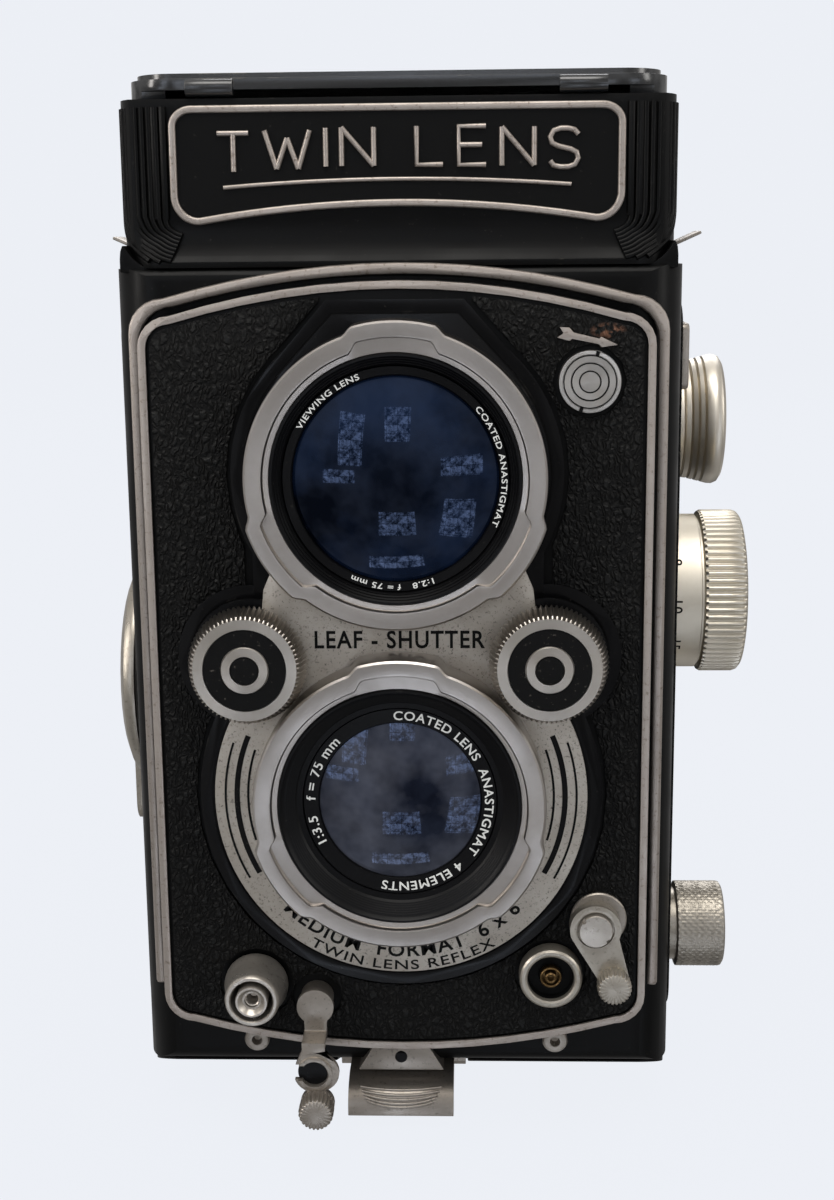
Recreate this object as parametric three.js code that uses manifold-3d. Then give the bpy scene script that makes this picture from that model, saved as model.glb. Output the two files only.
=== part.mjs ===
// A medium-format twin lens reflex camera, hood closed.
// Millimetres. +Z is up, the camera faces -Y, +X is the viewer's right. The feet stand on z = 0.

import * as THREE from 'three';
import Module from 'manifold-3d';
import { mergeVertices } from 'three/addons/utils/BufferGeometryUtils.js';

const wasm = await Module();
wasm.setup();

// ---------- driving dimensions ----------

const bodyHalf = 36.6;          // half the width of the body
const bodyFront = -31;          // front face of the body casting
const bodyBack = 40;            // back edge of the body casting
const bodyBottom = 7.5;
const bodyTop = 117;
const bodyCorner = 6;           // radius of the front upright corners

const takingZ = 49.5;           // axis height of the taking lens
const viewingZ = 91.5;          // axis height of the viewing lens
const filmY = 37;               // film plane
const gateHalf = 27.5;          // half of the square film gate

const plateFront = -37.5;       // face of the front plate at infinity focus
const plateBack = -31.4;
const plateHalf = 32.2;
const plateTop = 115.5;         // top of the plate on the centre line
const plateTopBow = 0.00517;    // drop of the arched top, per mm squared
const plateFoot = 13.4;         // bottom of the plate on the centre line
const plateFootBow = 0.00489;
const plateCorner = 4;
const borderWidth = 1.0;
const borderProud = 0.5;

const platformFront = -38.9;
const platformTakingR = 26.2;
const platformViewingR = 21.0;
const platformFlatTop = 113.3;
const shieldFront = -39.5;
const shieldR = 24.0;

const bezelFront = -44.6;
const bezelR = 18.7;
const barrelR = 15.6;
const barrelFront = -44.1;
const viewingGlassR = 12.8;
const takingGlassR = 10.6;

const wheelX = 18.95;
const wheelZ = 68.15;
const wheelBack = -40.3;
const wheelFront = -46.1;
const wheelR = 7.55;
const wheelFaceR = 6.6;

const capX = 24.0;
const capZ = 103.0;

const releaseX = -19.7;
const releaseZ = 22.9;
const guardX = -11.6;
const guardZ = 21.0;
const syncX = 19.6;
const syncZ = 24.6;
const syncLeverX = 25.4;
const syncLeverZ = 31.6;

const hoodBaseTop = 138.0;
const lidHingeY = -28.4;
const lidHingeZ = 139.3;
const lidHalf = 34.5;
const lidTop = 141.2;

const focusKnobY = -4;
const focusKnobZ = 69.6;
const upperSpoolY = 22;
const upperSpoolZ = 92;
const lowerSpoolY = -15.5;
const lowerSpoolZ = 22.4;
const crankY = -4;
const crankZ = 58.3;

const rollerY = 33.6;
const lowerRollerZ = 15.4;
const upperRollerZ = 81.6;

const doorFace = 40.3;          // inner face of the hinged back
const doorOuter = 46;
const doorHingeY = 43.7;
const doorHingeZ = 115.4;
const socketY = 8;              // tripod socket, behind the middle of the base pad
const latchX = -0.7;

const detail = 0.5;             // share of each round part's full number of facets

// ---------- colours ----------

const black = { color: 0x17171a, roughness: 0.35, metalness: 0.2 };
const leather = { color: 0x232323, roughness: 0.75, metalness: 0.0 };
const silver = { color: 0xb4ada3, roughness: 0.4, metalness: 0.9 };
const chrome = { color: 0xd6d6d6, roughness: 0.15, metalness: 1.0 };
const nickel = { color: 0xc0b8a6, roughness: 0.35, metalness: 0.95 };
const glass = { color: 0x1b2440, roughness: 0.05, metalness: 0.1 };

// ---------- solids ----------

function toSolid(geometry) {
  const bare = geometry.clone();
  bare.deleteAttribute('normal');
  bare.deleteAttribute('uv');
  const merged = mergeVertices(bare, 1e-5);
  const triVerts = Uint32Array.from(merged.index.array);
  const vertProperties = Float32Array.from(merged.attributes.position.array);
  if (signedVolume(vertProperties, triVerts) < 0) {
    for (let i = 0; i < triVerts.length; i += 3) {
      const swap = triVerts[i];
      triVerts[i] = triVerts[i + 1];
      triVerts[i + 1] = swap;
    }
  }
  return new wasm.Manifold(new wasm.Mesh({ numProp: 3, vertProperties, triVerts }));
}

function signedVolume(points, triangles) {
  let total = 0;
  const a = new THREE.Vector3();
  const b = new THREE.Vector3();
  const c = new THREE.Vector3();
  for (let i = 0; i < triangles.length; i += 3) {
    a.fromArray(points, 3 * triangles[i]);
    b.fromArray(points, 3 * triangles[i + 1]);
    c.fromArray(points, 3 * triangles[i + 2]);
    total += a.dot(b.cross(c));
  }
  return total;
}

function toGeometry(solid) {
  const mesh = solid.getMesh();
  const geometry = new THREE.BufferGeometry();
  const step = mesh.numProp;
  const count = mesh.vertProperties.length / step;
  const points = new Float32Array(count * 3);
  for (let i = 0; i < count; i += 1) {
    points[3 * i] = mesh.vertProperties[step * i];
    points[3 * i + 1] = mesh.vertProperties[step * i + 1];
    points[3 * i + 2] = mesh.vertProperties[step * i + 2];
  }
  geometry.setAttribute('position', new THREE.BufferAttribute(points, 3));
  geometry.setIndex(new THREE.BufferAttribute(Uint32Array.from(mesh.triVerts), 1));
  const flat = geometry.toNonIndexed();
  flat.computeVertexNormals();
  return flat;
}

function join(...solids) {
  return solids.reduce((sum, solid) => sum.add(solid));
}

function cut(base, ...tools) {
  return tools.reduce((rest, tool) => rest.subtract(tool), base);
}

function box(x0, x1, y0, y1, z0, z1) {
  const geometry = new THREE.BoxGeometry(x1 - x0, y1 - y0, z1 - z0);
  geometry.translate((x0 + x1) / 2, (y0 + y1) / 2, (z0 + z1) / 2);
  return toSolid(geometry);
}

// An outline drawn in X and Z, pushed along Y.
function slabY(shape, y0, y1, curve = 10) {
  const geometry = new THREE.ExtrudeGeometry(shape, { depth: y1 - y0, bevelEnabled: false, curveSegments: curve });
  geometry.rotateX(Math.PI / 2);
  geometry.translate(0, y1, 0);
  return toSolid(geometry);
}

// An outline drawn in Y and Z, pushed along X.
function slabX(shape, x0, x1, curve = 8) {
  const geometry = new THREE.ExtrudeGeometry(shape, { depth: x1 - x0, bevelEnabled: false, curveSegments: curve });
  const turn = new THREE.Matrix4();
  turn.makeBasis(new THREE.Vector3(0, 1, 0), new THREE.Vector3(0, 0, 1), new THREE.Vector3(1, 0, 0));
  geometry.applyMatrix4(turn);
  geometry.translate(x0, 0, 0);
  return toSolid(geometry);
}

// An outline drawn in X and Y, pushed along Z.
function slabZ(shape, z0, z1, curve = 8) {
  const geometry = new THREE.ExtrudeGeometry(shape, { depth: z1 - z0, bevelEnabled: false, curveSegments: curve });
  geometry.translate(0, 0, z0);
  return toSolid(geometry);
}

function facets(count) {
  return Math.max(8, 2 * Math.round((count * detail) / 2));
}

// A profile of [radius, distance] pairs turned about an axis along Y, through (x, z).
function turnY(profile, x, z, segments = 40) {
  const geometry = new THREE.LatheGeometry(profile.map(([r, y]) => new THREE.Vector2(r, y)), facets(segments));
  geometry.translate(x, 0, z);
  return toSolid(geometry);
}

// A profile of [radius, distance] pairs turned about an axis along X, through (y, z).
function turnX(profile, y, z, segments = 40) {
  const geometry = new THREE.LatheGeometry(profile.map(([r, d]) => new THREE.Vector2(r, d)), facets(segments));
  geometry.rotateZ(-Math.PI / 2);
  geometry.translate(0, y, z);
  return toSolid(geometry);
}

// A profile of [radius, distance] pairs turned about an axis along Z, through (x, y).
function turnZ(profile, x, y, segments = 24) {
  const geometry = new THREE.LatheGeometry(profile.map(([r, d]) => new THREE.Vector2(r, d)), facets(segments));
  geometry.rotateX(Math.PI / 2);
  geometry.translate(x, y, 0);
  return toSolid(geometry);
}

function rodY(r, x, z, y0, y1, segments = 32) {
  return turnY([[0, y0], [r, y0], [r, y1], [0, y1]], x, z, segments);
}

function rodX(r, y, z, x0, x1, segments = 32) {
  return turnX([[0, x0], [r, x0], [r, x1], [0, x1]], y, z, segments);
}

function rodZ(r, x, y, z0, z1, segments = 24) {
  return turnZ([[0, z0], [r, z0], [r, z1], [0, z1]], x, y, segments);
}

function polygon(points) {
  const shape = new THREE.Shape();
  shape.moveTo(points[0][0], points[0][1]);
  points.slice(1).forEach(([a, b]) => shape.lineTo(a, b));
  shape.closePath();
  return shape;
}

// A rectangle with its own radius at each corner: low-low, high-low, high-high, low-high.
function roundedBox(a0, a1, b0, b1, radii) {
  const [r0, r1, r2, r3] = radii;
  const shape = new THREE.Shape();
  shape.moveTo(a0 + r0, b0);
  shape.lineTo(a1 - r1, b0);
  if (r1 > 0) shape.absarc(a1 - r1, b0 + r1, r1, -Math.PI / 2, 0, false);
  shape.lineTo(a1, b1 - r2);
  if (r2 > 0) shape.absarc(a1 - r2, b1 - r2, r2, 0, Math.PI / 2, false);
  shape.lineTo(a0 + r3, b1);
  if (r3 > 0) shape.absarc(a0 + r3, b1 - r3, r3, Math.PI / 2, Math.PI, false);
  shape.lineTo(a0, b0 + r0);
  if (r0 > 0) shape.absarc(a0 + r0, b0 + r0, r0, Math.PI, Math.PI * 1.5, false);
  return shape;
}

const group = new THREE.Group();

function place(name, solid, look) {
  const mesh = new THREE.Mesh(toGeometry(solid), new THREE.MeshStandardMaterial(look));
  mesh.name = name;
  group.add(mesh);
}

// ---------- outlines of the front ----------

// The arched plate outline, pulled in from the plate edge by `inset`.
function archedOutline(inset, foot = null) {
  const half = plateHalf - inset;
  const corner = Math.max(plateCorner - inset, 0.6);
  const points = [];
  const run = half - corner;
  const topAt = (x) => plateTop - inset - plateTopBow * x * x;
  const footAt = (x) => (foot === null ? plateFoot + inset + plateFootBow * x * x : foot);
  const steps = 12;
  for (let i = 0; i <= steps; i += 1) {
    const x = -run + (2 * run * i) / steps;
    points.push([x, footAt(x)]);
  }
  for (let i = 1; i < 6; i += 1) {
    const a = -Math.PI / 2 + (Math.PI / 2) * (i / 6);
    points.push([run + corner * Math.cos(a), footAt(run) + corner + corner * Math.sin(a)]);
  }
  points.push([half, footAt(run) + corner]);
  points.push([half, topAt(run) - corner]);
  for (let i = 1; i < 6; i += 1) {
    const a = (Math.PI / 2) * (i / 6);
    points.push([run + corner * Math.cos(a), topAt(run) - corner + corner * Math.sin(a)]);
  }
  for (let i = 0; i <= steps; i += 1) {
    const x = run - (2 * run * i) / steps;
    points.push([x, topAt(x)]);
  }
  for (let i = 1; i < 6; i += 1) {
    const a = Math.PI / 2 + (Math.PI / 2) * (i / 6);
    points.push([-run + corner * Math.cos(a), topAt(run) - corner + corner * Math.sin(a)]);
  }
  points.push([-half, topAt(run) - corner]);
  points.push([-half, footAt(run) + corner]);
  for (let i = 1; i < 6; i += 1) {
    const a = Math.PI + (Math.PI / 2) * (i / 6);
    points.push([-run + corner * Math.cos(a), footAt(run) + corner + corner * Math.sin(a)]);
  }
  return polygon(points);
}

// The keyhole outline around both lenses, grown by `extra`.
function keyholeSolid(extra, y0, y1) {
  const lower = rodY(platformTakingR + extra, 0, takingZ, y0, y1, 72);
  const upper = rodY(platformViewingR + extra, 0, viewingZ, y0, y1, 64);
  const flat = 8.5;
  const shoulder = slabY(polygon([
    [-16.5 - extra, 104.6], [16.5 + extra, 104.6], [flat + extra * 0.4, platformFlatTop + extra],
    [-flat - extra * 0.4, platformFlatTop + extra],
  ]), y0, y1);
  const neck = box(-19 - extra, 19 + extra, y0, y1, takingZ + 17, viewingZ - 8);
  return join(lower, upper, shoulder, neck);
}

// ---------- the body ----------

function bodyCasting() {
  const plan = roundedBox(-bodyHalf, bodyHalf, bodyFront, bodyBack, [bodyCorner, bodyCorner, 0.6, 0.6]);
  const side = roundedBox(bodyFront, bodyBack, bodyBottom, bodyTop, [3, 0.6, 0.6, 1.6]);
  const block = slabZ(plan, bodyBottom, bodyTop, 8).intersect(slabX(side, -bodyHalf, bodyHalf, 6));
  const hinges = join(doorHingeLug(14.4, 22), doorHingeLug(-22, -14.4));
  const driveKey = rodX(2.8, upperSpoolY, upperSpoolZ, -34, -29.5, 24);
  return join(driveKey, cut(
    join(block, hinges),
    box(-27.7, 27.7, bodyFront - 1, -20, 36.3, 107.6),
    box(-33, 33, -28.3, bodyBack + 1, bodyBottom - 1, 110),
    mirrorChamber(),
    rodX(3.4, lowerSpoolY, lowerSpoolZ, 32, 38, 24),
    rodX(3.4, upperSpoolY, upperSpoolZ, 32, 38, 24),
    rodX(1.5, rollerY, lowerRollerZ, -34.6, 34.6, 20),
    rodX(1.5, rollerY, upperRollerZ, -34.6, 34.6, 20),
  ));
}

// The chamber casting fills the shell: two spool wells, the tapered light tunnel and the mirror's bed.
function filmChamber() {
  return cut(
    box(-32.98, 32.98, -28.28, filmY - 0.02, bodyBottom, 109.98),
    box(-27.7, 27.7, bodyFront - 1, -20, 36.3, 107.6),
    mirrorChamber(),
    lightTunnel(),
    rodX(12.8, lowerSpoolY, lowerSpoolZ, -34, 34, 40),
    box(-34, 34, -29, -2.7, bodyBottom - 1, lowerSpoolZ),
    box(-34, 34, -12, bodyBack + 1, bodyBottom - 1, 14),
    box(-34, 34, 28, bodyBack + 1, bodyBottom - 1, 19.5),
    rodX(12.8, upperSpoolY, upperSpoolZ, -34, 34, 40),
    box(-34, 34, upperSpoolY, bodyBack + 1, 78.2, 104.8),
    rodX(2.9, rollerY, lowerRollerZ, -34, 34, 20),
    rodX(2.9, rollerY, upperRollerZ, -34, 34, 20),
  );
}

function doorHingeLug(x0, x1) {
  const barrel = rodX(1.9, doorHingeY, doorHingeZ, x0, x1, 20);
  const web = box(x0, x1, bodyBack - 1, doorHingeY, 115.3, 117);
  return join(barrel, web);
}

function mirrorChamber() {
  const outline = polygon([[-21, 68], [27.6, 116.6], [27.6, 118], [-28, 118], [-28, 107], [-21, 107]]);
  return slabX(outline, -28.5, 28.5);
}

function lightTunnel() {
  const front = 12;
  const length = filmY + 21;
  const tunnel = new THREE.CylinderGeometry(
    (gateHalf + 0.4) * Math.SQRT2, front * Math.SQRT2, length + 1, 4, 1, false, Math.PI / 4);
  tunnel.translate(0, (filmY + 1 - 21) / 2, takingZ);
  return toSolid(tunnel);
}

function bodyTrim() {
  const outer = archBand(34.5, 117.6);
  const inner = archBand(33.1, 116.1);
  return slabY(outer, -32.0, bodyFront - 0.02, 8).subtract(slabY(inner, -33, bodyFront + 1, 8));
}

// The arched band runs up both sides of the front plate and over its top.
function archBand(half, top) {
  const points = [[-half, 20], [half, 20]];
  const corner = 4.5;
  const run = half - corner;
  const topAt = (x) => top - 0.0047 * x * x;
  for (let i = 0; i <= 6; i += 1) {
    const a = (Math.PI / 2) * (i / 6);
    points.push([run + corner * Math.cos(a), topAt(run) - corner + corner * Math.sin(a)]);
  }
  for (let i = 1; i < 14; i += 1) {
    const x = run - (2 * run * i) / 14;
    points.push([x, topAt(x)]);
  }
  for (let i = 0; i <= 6; i += 1) {
    const a = Math.PI / 2 + (Math.PI / 2) * (i / 6);
    points.push([-run + corner * Math.cos(a), topAt(run) - corner + corner * Math.sin(a)]);
  }
  return polygon(points);
}

function sideLeather(side) {
  const outline = roundedBox(-23, 37, 12, 112, [4, 4, 4, 4]);
  const x0 = side > 0 ? bodyHalf + 0.02 : -bodyHalf - 0.6;
  const x1 = side > 0 ? bodyHalf + 0.6 : -bodyHalf - 0.02;
  const sheet = slabX(outline, x0, x1, 6);
  if (side < 0) {
    return cut(sheet, rodX(17.4, crankY, crankZ, x0 - 1, x1 + 1, 72));
  }
  return cut(
    sheet,
    rodX(12.4, focusKnobY, focusKnobZ, x0 - 1, x1 + 1, 40),
    rodX(10.8, upperSpoolY, upperSpoolZ, x0 - 1, x1 + 1, 40),
    rodX(6.9, lowerSpoolY, lowerSpoolZ, x0 - 1, x1 + 1, 32),
    box(x0 - 1, x1 + 1, -17.3, -8.7, 99.7, 109.3),
  );
}

function strapLug(side) {
  const out = side > 0 ? 1 : -1;
  const corner = (y, z, reach) => new THREE.Vector3(out * (bodyHalf + reach), y, z);
  const route = [corner(-2.5, 110.3, 1.45), corner(-2.5, 114, 1.6), corner(-2.5, 117.4, 2.9), corner(-1.8, 119.8, 4.6),
    corner(1.8, 119.8, 4.6), corner(2.5, 117.4, 2.9), corner(2.5, 114, 1.6), corner(2.5, 110.3, 1.45)];
  const curve = new THREE.CatmullRomCurve3(route, false, 'catmullrom', 0.3);
  const round = new THREE.Shape();
  round.absarc(0, 0, 0.75, 0, Math.PI * 2, false);
  const wire = new THREE.ExtrudeGeometry(round, { steps: 15, extrudePath: curve, bevelEnabled: false, curveSegments: 4 });
  const pad = slabX(roundedBox(-4, 4, 108.4, 112.3, [1, 1, 1, 1]), 0, 1.6, 4);
  const base = side > 0 ? pad.translate([bodyHalf + 0.62, 0, 0]) : pad.translate([-bodyHalf - 2.22, 0, 0]);
  return join(toSolid(wire), base);
}

function crankHousing() {
  const side = -bodyHalf;
  return turnX([[0, side - 1.4], [16.4, side - 1.4], [16.9, side - 1.0], [16.9, side - 0.03], [0, side - 0.03]],
    crankY, crankZ, 72);
}

function indexBracket() {
  const outline = roundedBox(-17, -9, 100, 109, [1, 1, 1, 1]);
  return slabX(outline, bodyHalf + 0.03, bodyHalf + 2.2, 4);
}

function viewingMirror() {
  const slope = polygon([[-20.4, 68.75], [26.8, 115.95], [25.6, 117.15 - 0.2], [-21.4 + 0.5, 70.0 + 0.3]]);
  return slabX(slope, -27.8, 27.8);
}

function focusingScreen() {
  return box(-29.5, 29.5, -28.6, 30, bodyTop + 0.15, bodyTop + 1.6);
}

function catchPlate() {
  const face = polygon([
    [latchX - 3.9, 10.8], [latchX - 5.9, 7.4], [latchX + 5.9, 7.4], [latchX + 3.9, 10.8],
  ]);
  const plate = slabY(face, -32.2, bodyFront + 2.4, 4);
  const rounded = slabX(roundedBox(bodyFront - 0.03, bodyBack, bodyBottom - 0.03, bodyTop, [3, 0.6, 0.6, 1.6]), -40, 40, 6);
  return plate.subtract(rounded);
}

// ---------- the front standard ----------

function frontPlate() {
  const plate = slabY(archedOutline(0), plateFront, plateBack);
  const hollow = slabY(archedOutline(2.2), plateFront + 2.2, plateBack + 1);
  const skirt = box(-27.1, 27.1, plateFront + 1, -24.2, 36.9, 107);
  const inside = box(-25.6, 25.6, plateFront + 2.2, -20, 38.4, 105.5);
  const seats = [
    rodY(11.4, 0, takingZ, plateFront - 1, 0, 40),
    rodY(13.4, 0, viewingZ, plateFront - 1, 0, 40),
    releaseBore(),
  ];
  return cut(join(plate.subtract(hollow), skirt), inside, ...seats);
}

function releaseBore() {
  return rodY(2.05, releaseX, releaseZ, plateFront - 1, plateBack + 1, 24);
}

function plateTrim() {
  return slabY(archedOutline(0), plateFront - borderProud, plateFront - 0.02)
    .subtract(slabY(archedOutline(borderWidth), plateFront - 2, plateFront + 1));
}

function frontLeather() {
  const y0 = plateFront - 0.55;
  const y1 = plateFront - 0.02;
  const sheet = slabY(archedOutline(borderWidth + 0.5), y0, y1);
  return cut(
    sheet,
    keyholeSolid(0.6, y0 - 1, y1 + 1),
    box(-9.5, 9.5, y0 - 1, y1 + 1, 110, 125),
    rodY(4.6, capX, capZ, y0 - 1, y1 + 1, 24),
    rodY(5.0, releaseX, releaseZ, y0 - 1, y1 + 1, 28),
    rodY(3.4, guardX, guardZ, y0 - 1, y1 + 1, 24),
    rodY(4.8, syncX, syncZ, y0 - 1, y1 + 1, 28),
    rodY(3.9, syncLeverX, syncLeverZ, y0 - 1, y1 + 1, 24),
  );
}

function lensPlatform() {
  return cut(
    keyholeSolid(0, platformFront, plateFront - 0.02),
    rodY(11.4, 0, takingZ, platformFront - 1, 0, 40),
    rodY(13.4, 0, viewingZ, platformFront - 1, 0, 40),
  );
}

function shutterShield() {
  const disc = rodY(shieldR, 0, takingZ, shieldFront, platformFront - 0.02, 72);
  const top = slabY(polygon([[-17, 66], [17, 66], [8, 76.5], [-8, 76.5]]), shieldFront, platformFront - 0.02);
  const bore = rodY(18.8, 0, takingZ, shieldFront - 1, platformFront + 1, 56);
  const upper = rodY(platformViewingR - 1.2, 0, viewingZ, shieldFront - 1, platformFront + 1, 56);
  return cut(join(disc, top), bore, upper);
}

// A bayonet ring: turned band with three outer lugs and three inner recesses.
function bayonetBezel(z, back) {
  const ring = turnY([
    [barrelR + 0.05, back], [17.0, back], [17.0, -41.4], [18.2, -41.0], [bezelR, -40.9 - 0.4], [bezelR, bezelFront + 0.5],
    [bezelR - 0.5, bezelFront], [17.2, bezelFront], [16.4, bezelFront + 0.7], [barrelR + 0.05, bezelFront + 0.9],
    [barrelR + 0.05, back],
  ], 0, z, 60);
  const lugs = [90, -30, 210].map((degrees) => {
    const a = (degrees * Math.PI) / 180;
    const lug = rodY(2.3, 17.2 * Math.cos(a), z + 17.2 * Math.sin(a), bezelFront + 0.9, -41.4, 20);
    return lug.subtract(rodY(16.6, 0, z, bezelFront - 1, -40, 60));
  });
  return join(ring, ...lugs);
}

function lensBarrel(z, back, glassR, seatR) {
  return turnY([
    [seatR - 1.6, back + 9], [seatR, back + 9], [seatR, back], [barrelR, back], [barrelR, barrelFront + 0.3],
    [barrelR - 0.5, barrelFront], [glassR + 2.0, barrelFront], [glassR + 1.6, barrelFront + 0.5],
    [glassR + 0.1, barrelFront + 1.1], [glassR + 0.1, barrelFront + 3.2], [seatR - 1.6, barrelFront + 3.2],
    [seatR - 1.6, back + 9],
  ], 0, z, 60);
}

function lensGlass(z, glassR, bulge) {
  const edge = barrelFront + 1.9;
  const profile = [[0, edge + 1.2], [glassR, edge + 1.2], [glassR, edge]];
  for (let i = 1; i <= 6; i += 1) {
    const r = glassR * Math.cos((Math.PI / 2) * (i / 6));
    const rise = bulge * (1 - (r / glassR) ** 2);
    profile.push([i === 6 ? 0 : r, edge - rise]);
  }
  return turnY(profile, 0, z, 48);
}

function settingWheel(side) {
  const x = side * wheelX;
  return turnY([
    [0, shieldFront - 0.25], [2.5, shieldFront - 0.25], [2.5, wheelBack], [6.3, wheelBack], [6.3, wheelBack - 1.6], [wheelR, wheelBack - 2.2], [wheelR, wheelBack - 2.9],
    [wheelFaceR, wheelFront + 0.4], [wheelFaceR - 0.3, wheelFront], [5.2, wheelFront], [5.2, wheelFront + 0.7],
    [0, wheelFront + 0.7],
  ], x, wheelZ, 48);
}

function wheelCap(side) {
  const x = side * wheelX;
  return turnY([
    [0, wheelFront + 0.68], [3.05, wheelFront + 0.68], [3.05, wheelFront - 0.1], [1.9, wheelFront - 0.2],
    [1.7, wheelFront + 0.1], [0, wheelFront + 0.1],
  ], x, wheelZ, 28);
}

function slottedCap() {
  const front = plateFront - 1.5;
  const disc = turnY([
    [0, plateFront - 0.02], [3.9, plateFront - 0.02], [3.9, front + 0.4], [3.5, front], [2.6, front], [2.5, front + 0.35],
    [2.1, front + 0.35], [2.0, front], [0, front],
  ], capX, capZ, 32);
  const slot = box(capX - 0.45, capX + 0.45, front - 1, front + 0.9, capZ - 5, capZ - 2.6);
  const other = box(capX - 0.45, capX + 0.45, front - 1, front + 0.9, capZ + 2.6, capZ + 5);
  return cut(disc, slot, other);
}

function arrowOutline(extra) {
  const points = [[-3.6, -0.45], [0.9, -0.45], [0.9, -1.5], [3.7, 0], [0.9, 1.5], [0.9, 0.45], [-3.6, 0.45]];
  const turn = (-10 * Math.PI) / 180;
  const grow = 1 + extra;
  return polygon(points.map(([a, b]) => [
    23.8 + grow * (a * Math.cos(turn) - b * Math.sin(turn)),
    108.6 + grow * (a * Math.sin(turn) + b * Math.cos(turn)),
  ]));
}

function releaseSleeve() {
  return turnY([
    [2.0, plateFront - 0.02], [4.3, plateFront - 0.02], [4.3, plateFront - 1.2], [3.7, plateFront - 2.0],
    [3.55, plateFront - 6.0], [3.2, plateFront - 6.4], [2.2, plateFront - 6.4], [2.0, plateFront - 6.2],
    [2.0, plateFront - 0.02],
  ], releaseX, releaseZ, 36);
}

function releaseButton() {
  const front = plateFront - 6.6;
  const back = plateFront + 3.2;
  return turnY([
    [0, back], [1.9, back], [1.9, front + 0.3], [1.6, front], [0.9, front], [0.8, front + 3],
    [0, front + 3.3],
  ], releaseX, releaseZ, 28);
}

// The swinging guard: pivot disc, arm stepping forward, open cup that covers the button, knurled pin below the cup.
function releaseGuard() {
  const armBack = plateFront - 2.9;
  const cupBack = plateFront - 6.9;
  const cupFront = plateFront - 8.1;
  const cupZ = guardZ - 7.5;
  const disc = rodY(2.5, guardX, guardZ, plateFront - 3.9, plateFront - 0.02, 40);
  const arm = box(guardX - 1.1, guardX + 1.1, armBack - 1.0, armBack, guardZ - 4.3, guardZ);
  const riser = box(guardX - 1.1, guardX + 1.1, cupFront, armBack, guardZ - 4.3, guardZ - 3.2);
  const step = join(riser, box(guardX - 1.1, guardX + 1.1, cupFront, cupBack, cupZ + 2.0, guardZ - 3.2));
  const cup = rodY(2.75, guardX, cupZ, cupFront, cupBack, 40);
  const mouth = rodY(1.85, guardX, cupZ, cupFront - 1, cupBack + 1, 40);
  const gap = box(guardX - 4, guardX, cupFront - 1, cupBack + 1, cupZ - 1.1, cupZ + 1.1);
  const pin = turnY([
    [0, cupBack], [1.6, cupBack], [2.3, cupBack - 0.4], [2.3, cupBack - 3.6], [1.9, cupBack - 4.0], [0, cupBack - 4.0],
  ], guardX + 0.4, cupZ - 4.4, 40);
  return join(disc, arm, cut(join(step, cup), mouth, gap), pin);
}

function syncSocket() {
  const y = plateFront - 0.02;
  return turnY([
    [0, y], [4.25, y], [4.25, y - 2.3], [3.9, y - 2.8], [3.1, y - 2.8], [3.0, y - 2.4], [3.0, y - 1.0], [0, y - 1.0],
  ], syncX, syncZ, 36);
}

function syncPin() {
  const y = plateFront - 1.04;
  return turnY([[0, y], [1.25, y], [1.25, y - 1.5], [0.9, y - 1.7], [0, y - 1.7]], syncX, syncZ, 20);
}

function syncLever() {
  const y = plateFront - 0.6;
  const boss = turnY([[1.2, y], [3.4, y], [3.4, y - 2.2], [3.1, y - 2.5], [1.2, y - 2.5], [1.2, y]],
    syncLeverX, syncLeverZ, 32);
  const tipX = 27.3;
  const tipZ = 24.6;
  const arm = slabY(polygon([
    [syncLeverX - 0.6, syncLeverZ - 2.7], [syncLeverX + 2.4, syncLeverZ - 1.6], [tipX + 1.4, tipZ + 1], [tipX - 0.5, tipZ + 1],
  ]), y - 1.9, y - 0.9);
  const pin = turnY([
    [0, y - 0.9], [2.0, y - 0.9], [2.25, y - 1.2], [2.25, y - 4.6], [1.9, y - 5.0], [0, y - 5.0],
  ], tipX + 0.5, tipZ - 0.2, 28);
  return join(boss, arm, pin);
}

function syncScrew() {
  const y = plateFront - 0.02;
  const screw = turnY([
    [0, y], [1.12, y], [1.12, y - 3.2], [2.3, y - 3.2], [2.3, y - 3.7], [2.0, y - 3.9], [0, y - 3.9],
  ], syncLeverX, syncLeverZ, 28);
  const notch = (side) => box(syncLeverX + side * 1.9 - 0.4, syncLeverX + side * 1.9 + 0.4, y - 5, y - 3.5,
    syncLeverZ - 0.4, syncLeverZ + 0.4);
  return cut(screw, notch(-1), notch(1));
}

// ---------- the hood ----------

function hoodBase() {
  const plan = roundedBox(-35.5, 35.5, -30.4, 41, [6, 6, 3, 3]);
  const opening = roundedBox(-31.6, 31.6, -25.6, 37.4, [1, 1, 1, 1]);
  const front = new THREE.Shape();
  front.moveTo(-30.9, bodyTop + 0.1);
  front.lineTo(41, bodyTop + 0.1);
  front.lineTo(41, hoodBaseTop);
  front.lineTo(-28.6, hoodBaseTop);
  front.lineTo(-28.6, 121.9);
  front.quadraticCurveTo(-28.8, 118.9, -30.9, bodyTop + 0.4);
  front.closePath();
  const shell = slabZ(plan, bodyTop + 0.1, hoodBaseTop, 8).intersect(slabX(front, -37, 37, 6));
  const ledge = box(-31.6, 31.6, -29, 30.3, bodyTop, bodyTop + 1.9);
  const hollow = slabZ(opening, bodyTop - 1, hoodBaseTop + 1, 4);
  const ribs = [];
  [-1, 1].forEach((side) => {
    [[29.5, -28.9], [30.7, -28.75], [31.9, -28.25], [33.0, -27.45], [33.9, -26.4], [34.55, -25.2], [34.95, -23.9], [35.1, -22.5]]
      .forEach(([x, y]) => ribs.push(rodZ(0.5, side * x, y, 123.2, 137.0, 8)));
  });
  return cut(join(shell, ...ribs), hollow, ledge);
}

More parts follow.
